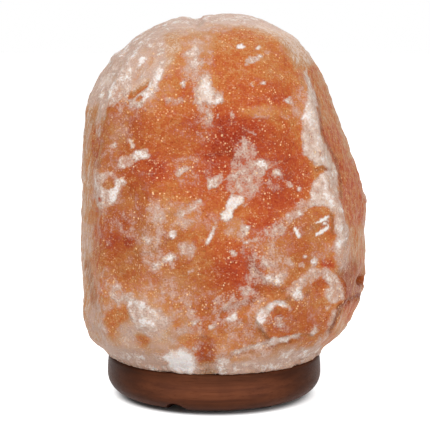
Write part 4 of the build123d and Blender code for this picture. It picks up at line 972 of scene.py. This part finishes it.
# brown depths and painted shade in creases and under ledges, and thin healed cracks
brown_and_shade_share = salt.times(brown_and_shade_mark, salt.rise(medium, 0.3, 0.6, 0.6, 1.0))
colour = salt.mix(brown_and_shade_share, colour, BROWN_AND_SHADE_COLOUR)
crack_noise = salt.grain(1.0, 3.0, salt.stretched(bedded, *CRACK), 0.55)
crack = salt.maths("ABSOLUTE", salt.maths("SUBTRACT", crack_noise, 0.5))
colour = salt.mix(salt.rise(crack, 0.012, 0.0, 0.0, 0.18), colour, BLEACHED)

# white crust, and the painted highlights at their whitest: a thin pink bloom that thickens to white, with
# grainy edges
lace = salt.plus(salt.swing(medium, 0.34), salt.swing(fine, 0.22),
                 salt.swing(salt.grain(LACE, 3.0), 0.24, 0.3, 0.7))
lace = salt.times(lace, salt.rise(crust_and_highlight_mark, 0.0, 0.45, 0.4, 1.0))
lace = salt.times(lace, salt.rise(crust_and_highlight_mark, 0.9, 1.12, 1.0, 0.45))
thick = salt.plus(crust_and_highlight_mark, lace, streak_pale)
crusted = salt.rise(thick, 0.68, 1.04)
colour = salt.mix(salt.rise(thick, 0.10, 0.72, 0.0, 0.88), colour, BLOOM_PINK)
colour = salt.mix(crusted, colour, CRUST_CREAM)
colour = salt.mix(salt.rise(thick, 1.02, 1.38), colour, WHITE_CRUST_AND_HIGHLIGHT)

# painted glints: small crystals painted bright in clusters, and finer dark and pale ones between them, the
# pale ones fainter painted glints
deep_share = salt.rise(depth_mark, 0.2, 0.6, 0.3, 1.0)
speck, speck_own = salt.cells(SPECK)
glinting_specks = salt.rise(salt.part(speck_own, "Green"), 0.5, 0.9)
cluster = salt.rise(salt.grain(CLUSTER, 3.0), 0.42, 0.62, 0.15, 1.0)
painted_glints = salt.times(glinting_specks, salt.rise(speck, 0.38, 0.16), cluster, deep_share)
grit, grit_own = salt.cells(GRIT)
crisp = salt.rise(grit, 0.55, 0.25)
patchy = salt.rise(salt.grain(PATCHY, 3.0), 0.35, 0.65, 0.2, 1.0)
dark_face = salt.times(salt.rise(salt.part(grit_own, "Blue"), 0.6, 0.95), crisp, patchy)
pale_face = salt.times(salt.rise(salt.part(grit_own, "Red"), 0.6, 0.95), crisp, patchy)
dark_most = salt.times(deep_share, salt.rise(crusted, 0.0, 1.0, 0.62, 0.12))
colour = salt.mix(salt.times(dark_face, dark_most), colour, GRAIN_DARK)
# painted glints, faint on the pale grit and strong on the clustered crystals
colour = salt.mix(salt.times(pale_face, 0.46), colour, GLINT_PAINT)
colour = salt.mix(salt.times(painted_glints, 0.9), colour, GLINT_PAINT)

dullness = salt.rise(crusted, 0.0, 1.0, 0.36, 0.62)
salt.set(Base_Color=colour, Roughness=salt.maths("SUBTRACT", dullness, salt.times(painted_glints, 0.22)))
crystal = salt.cells(CRYSTAL)[0]
relief = salt.plus(fine, salt.times(medium, 1.4), salt.times(crystal, 0.5), salt.times(crusted, 0.6))
salt.bump(relief, 0.45, 0.8)
stone.data.materials.clear()
stone.data.materials.append(salt.material)
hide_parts("salt_crystal")
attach(stone, "base")

# ------------------------------------------------------------------ salt plugs and base screws
# Three slit nylon plugs are pressed into blind holes in the sawn face. Zinc-plated pan-head screws
# come up through the base into them, and open them against the salt.
nylon = Finish("nylon", 0.5, Subsurface_Weight=0.2, Subsurface_Scale=0.002)
nylon.two_tone(nylon.grain(2.5), (222, 218, 206), (238, 235, 226))
nylon.bump(nylon.grain(0.6), 0.04, 0.4)
nylon.on("salt_plugs")

zinc = Finish("zinc_plate", 0.32, Metallic=1.0)
zinc.two_tone(zinc.grain(1.6, 3.0), (168, 170, 172), (206, 206, 200))
zinc.worn(zinc.grain(0.7), 0.24, 0.42)
zinc.bump(zinc.grain(0.35), 0.02, 0.4)
zinc.on("base_screws", "clip_rivets", "cover_screws", "terminal_screws")

# ------------------------------------------------------------------ clip plate and spring clips
# A pressed steel disc closes the base's hole. Three feet of hardened spring strip are riveted to
# it, and the sprung leaves that rise from them grip the wood.
plate_steel = Finish("plate_steel", 0.38, Metallic=1.0)
rolling = plate_steel.grain(1.0, 2.0, plate_steel.stretched(plate_steel.place, 9.0, 0.25, 0.25))
plate_steel.two_tone(rolling, (172, 174, 177), (204, 205, 206))
plate_steel.worn(rolling, 0.30, 0.46)
plate_steel.bump(rolling, 0.02, 0.4)
plate_steel.on("clip_plate")

spring_steel = Finish("blued_spring_steel", 0.3, Metallic=1.0)
heat = spring_steel.grain(3.0, 2.0)
spring_steel.two_tone(heat, (120, 124, 134), (156, 158, 162))
spring_steel.bump(spring_steel.grain(0.3), 0.015, 0.4)
spring_steel.on("clip_feet", "spring_clip_1", "spring_clip_2", "spring_clip_3")

# ------------------------------------------------------------------ lampholder body, cover and gland
# Body and cover are moulded from black thermoset with a fine eggshell face. The gland is a softer
# bush of black rubber pressed into the cover's side.
moulding = Finish("black_moulding", 0.36)
speckle = moulding.grain(0.4, 2.0)
moulding.two_tone(speckle, (24, 23, 23), (36, 35, 34), 0.35)
moulding.worn(moulding.grain(4.0), 0.30, 0.44)
moulding.bump(speckle, 0.03, 0.5)
moulding.on("holder_body", "holder_cover")

gland_rubber = Finish("gland_rubber", 0.6)
dusty = gland_rubber.grain(1.2)
gland_rubber.two_tone(dusty, (26, 26, 27), (44, 43, 43))
gland_rubber.bump(gland_rubber.grain(0.4), 0.05, 0.5)
gland_rubber.on("cord_gland")

# ------------------------------------------------------------------ contacts and terminals
# A fired steatite disc carries the threaded brass shell, the sprung brass tongue and, below, two
# brass terminal blocks with their screws.
steatite = Finish("steatite", 0.55)
fired = steatite.grain(1.4, 3.0)
steatite.two_tone(fired, (222, 216, 202), (238, 234, 224))
steatite.bump(steatite.grain(0.5), 0.04, 0.5)
steatite.on("contact_block")

brass = Finish("brass", 0.28, Metallic=1.0)
drawn = brass.grain(2.0, 3.0)
brass.two_tone(drawn, (186, 146, 78), (220, 184, 112))
brass.worn(drawn, 0.22, 0.38)
brass.bump(brass.grain(0.4), 0.015, 0.4)
brass.on("screw_shell", "centre_contact", "terminals")

# ------------------------------------------------------------------ bulb
# A small clear screw-cap bulb: solder tip, black glass insulator, nickelled cap, blown envelope,
# and a glass mount whose two wires carry a zigzag filament.
solder = Finish("solder", 0.35, Metallic=1.0)
solder.two_tone(solder.grain(0.9, 3.0), (150, 150, 150), (190, 190, 188))
solder.bump(solder.grain(0.7), 0.08, 0.6)
solder.on("bulb_tip")

black_glass = Finish("black_glass", 0.12)
black_glass.two_tone(black_glass.grain(2.0), (12, 12, 14), (24, 24, 28))
black_glass.on("bulb_insulator")

nickel = Finish("nickelled_brass", 0.22, Metallic=1.0)
tarnish = nickel.grain(2.4, 3.0)
nickel.two_tone(tarnish, (196, 190, 172), (222, 219, 208))
nickel.worn(tarnish, 0.18, 0.32)
nickel.bump(nickel.grain(0.5), 0.01, 0.4)
nickel.on("bulb_cap")

clear_glass = Finish("clear_glass", 0.02, Transmission_Weight=1.0, IOR=1.47)
faint = clear_glass.grain(6.0)
clear_glass.two_tone(faint, (246, 249, 248), (252, 253, 252))
clear_glass.on("bulb_glass")

mount_glass = Finish("mount_glass", 0.08, Transmission_Weight=0.9, IOR=1.5)
mount_glass.two_tone(mount_glass.grain(2.0), (220, 228, 224), (236, 240, 238))
mount_glass.bump(mount_glass.grain(1.5), 0.05, 0.5)
mount_glass.on("bulb_stem")

copper_wire = Finish("lead_wire", 0.35, Metallic=1.0)
copper_wire.two_tone(copper_wire.grain(0.8), (150, 132, 118), (186, 170, 156))
copper_wire.on("lead_wires")

tungsten = Finish("tungsten", 0.4, Metallic=1.0)
tungsten.two_tone(tungsten.grain(0.4), (96, 96, 100), (132, 132, 136))
tungsten.on("filament")
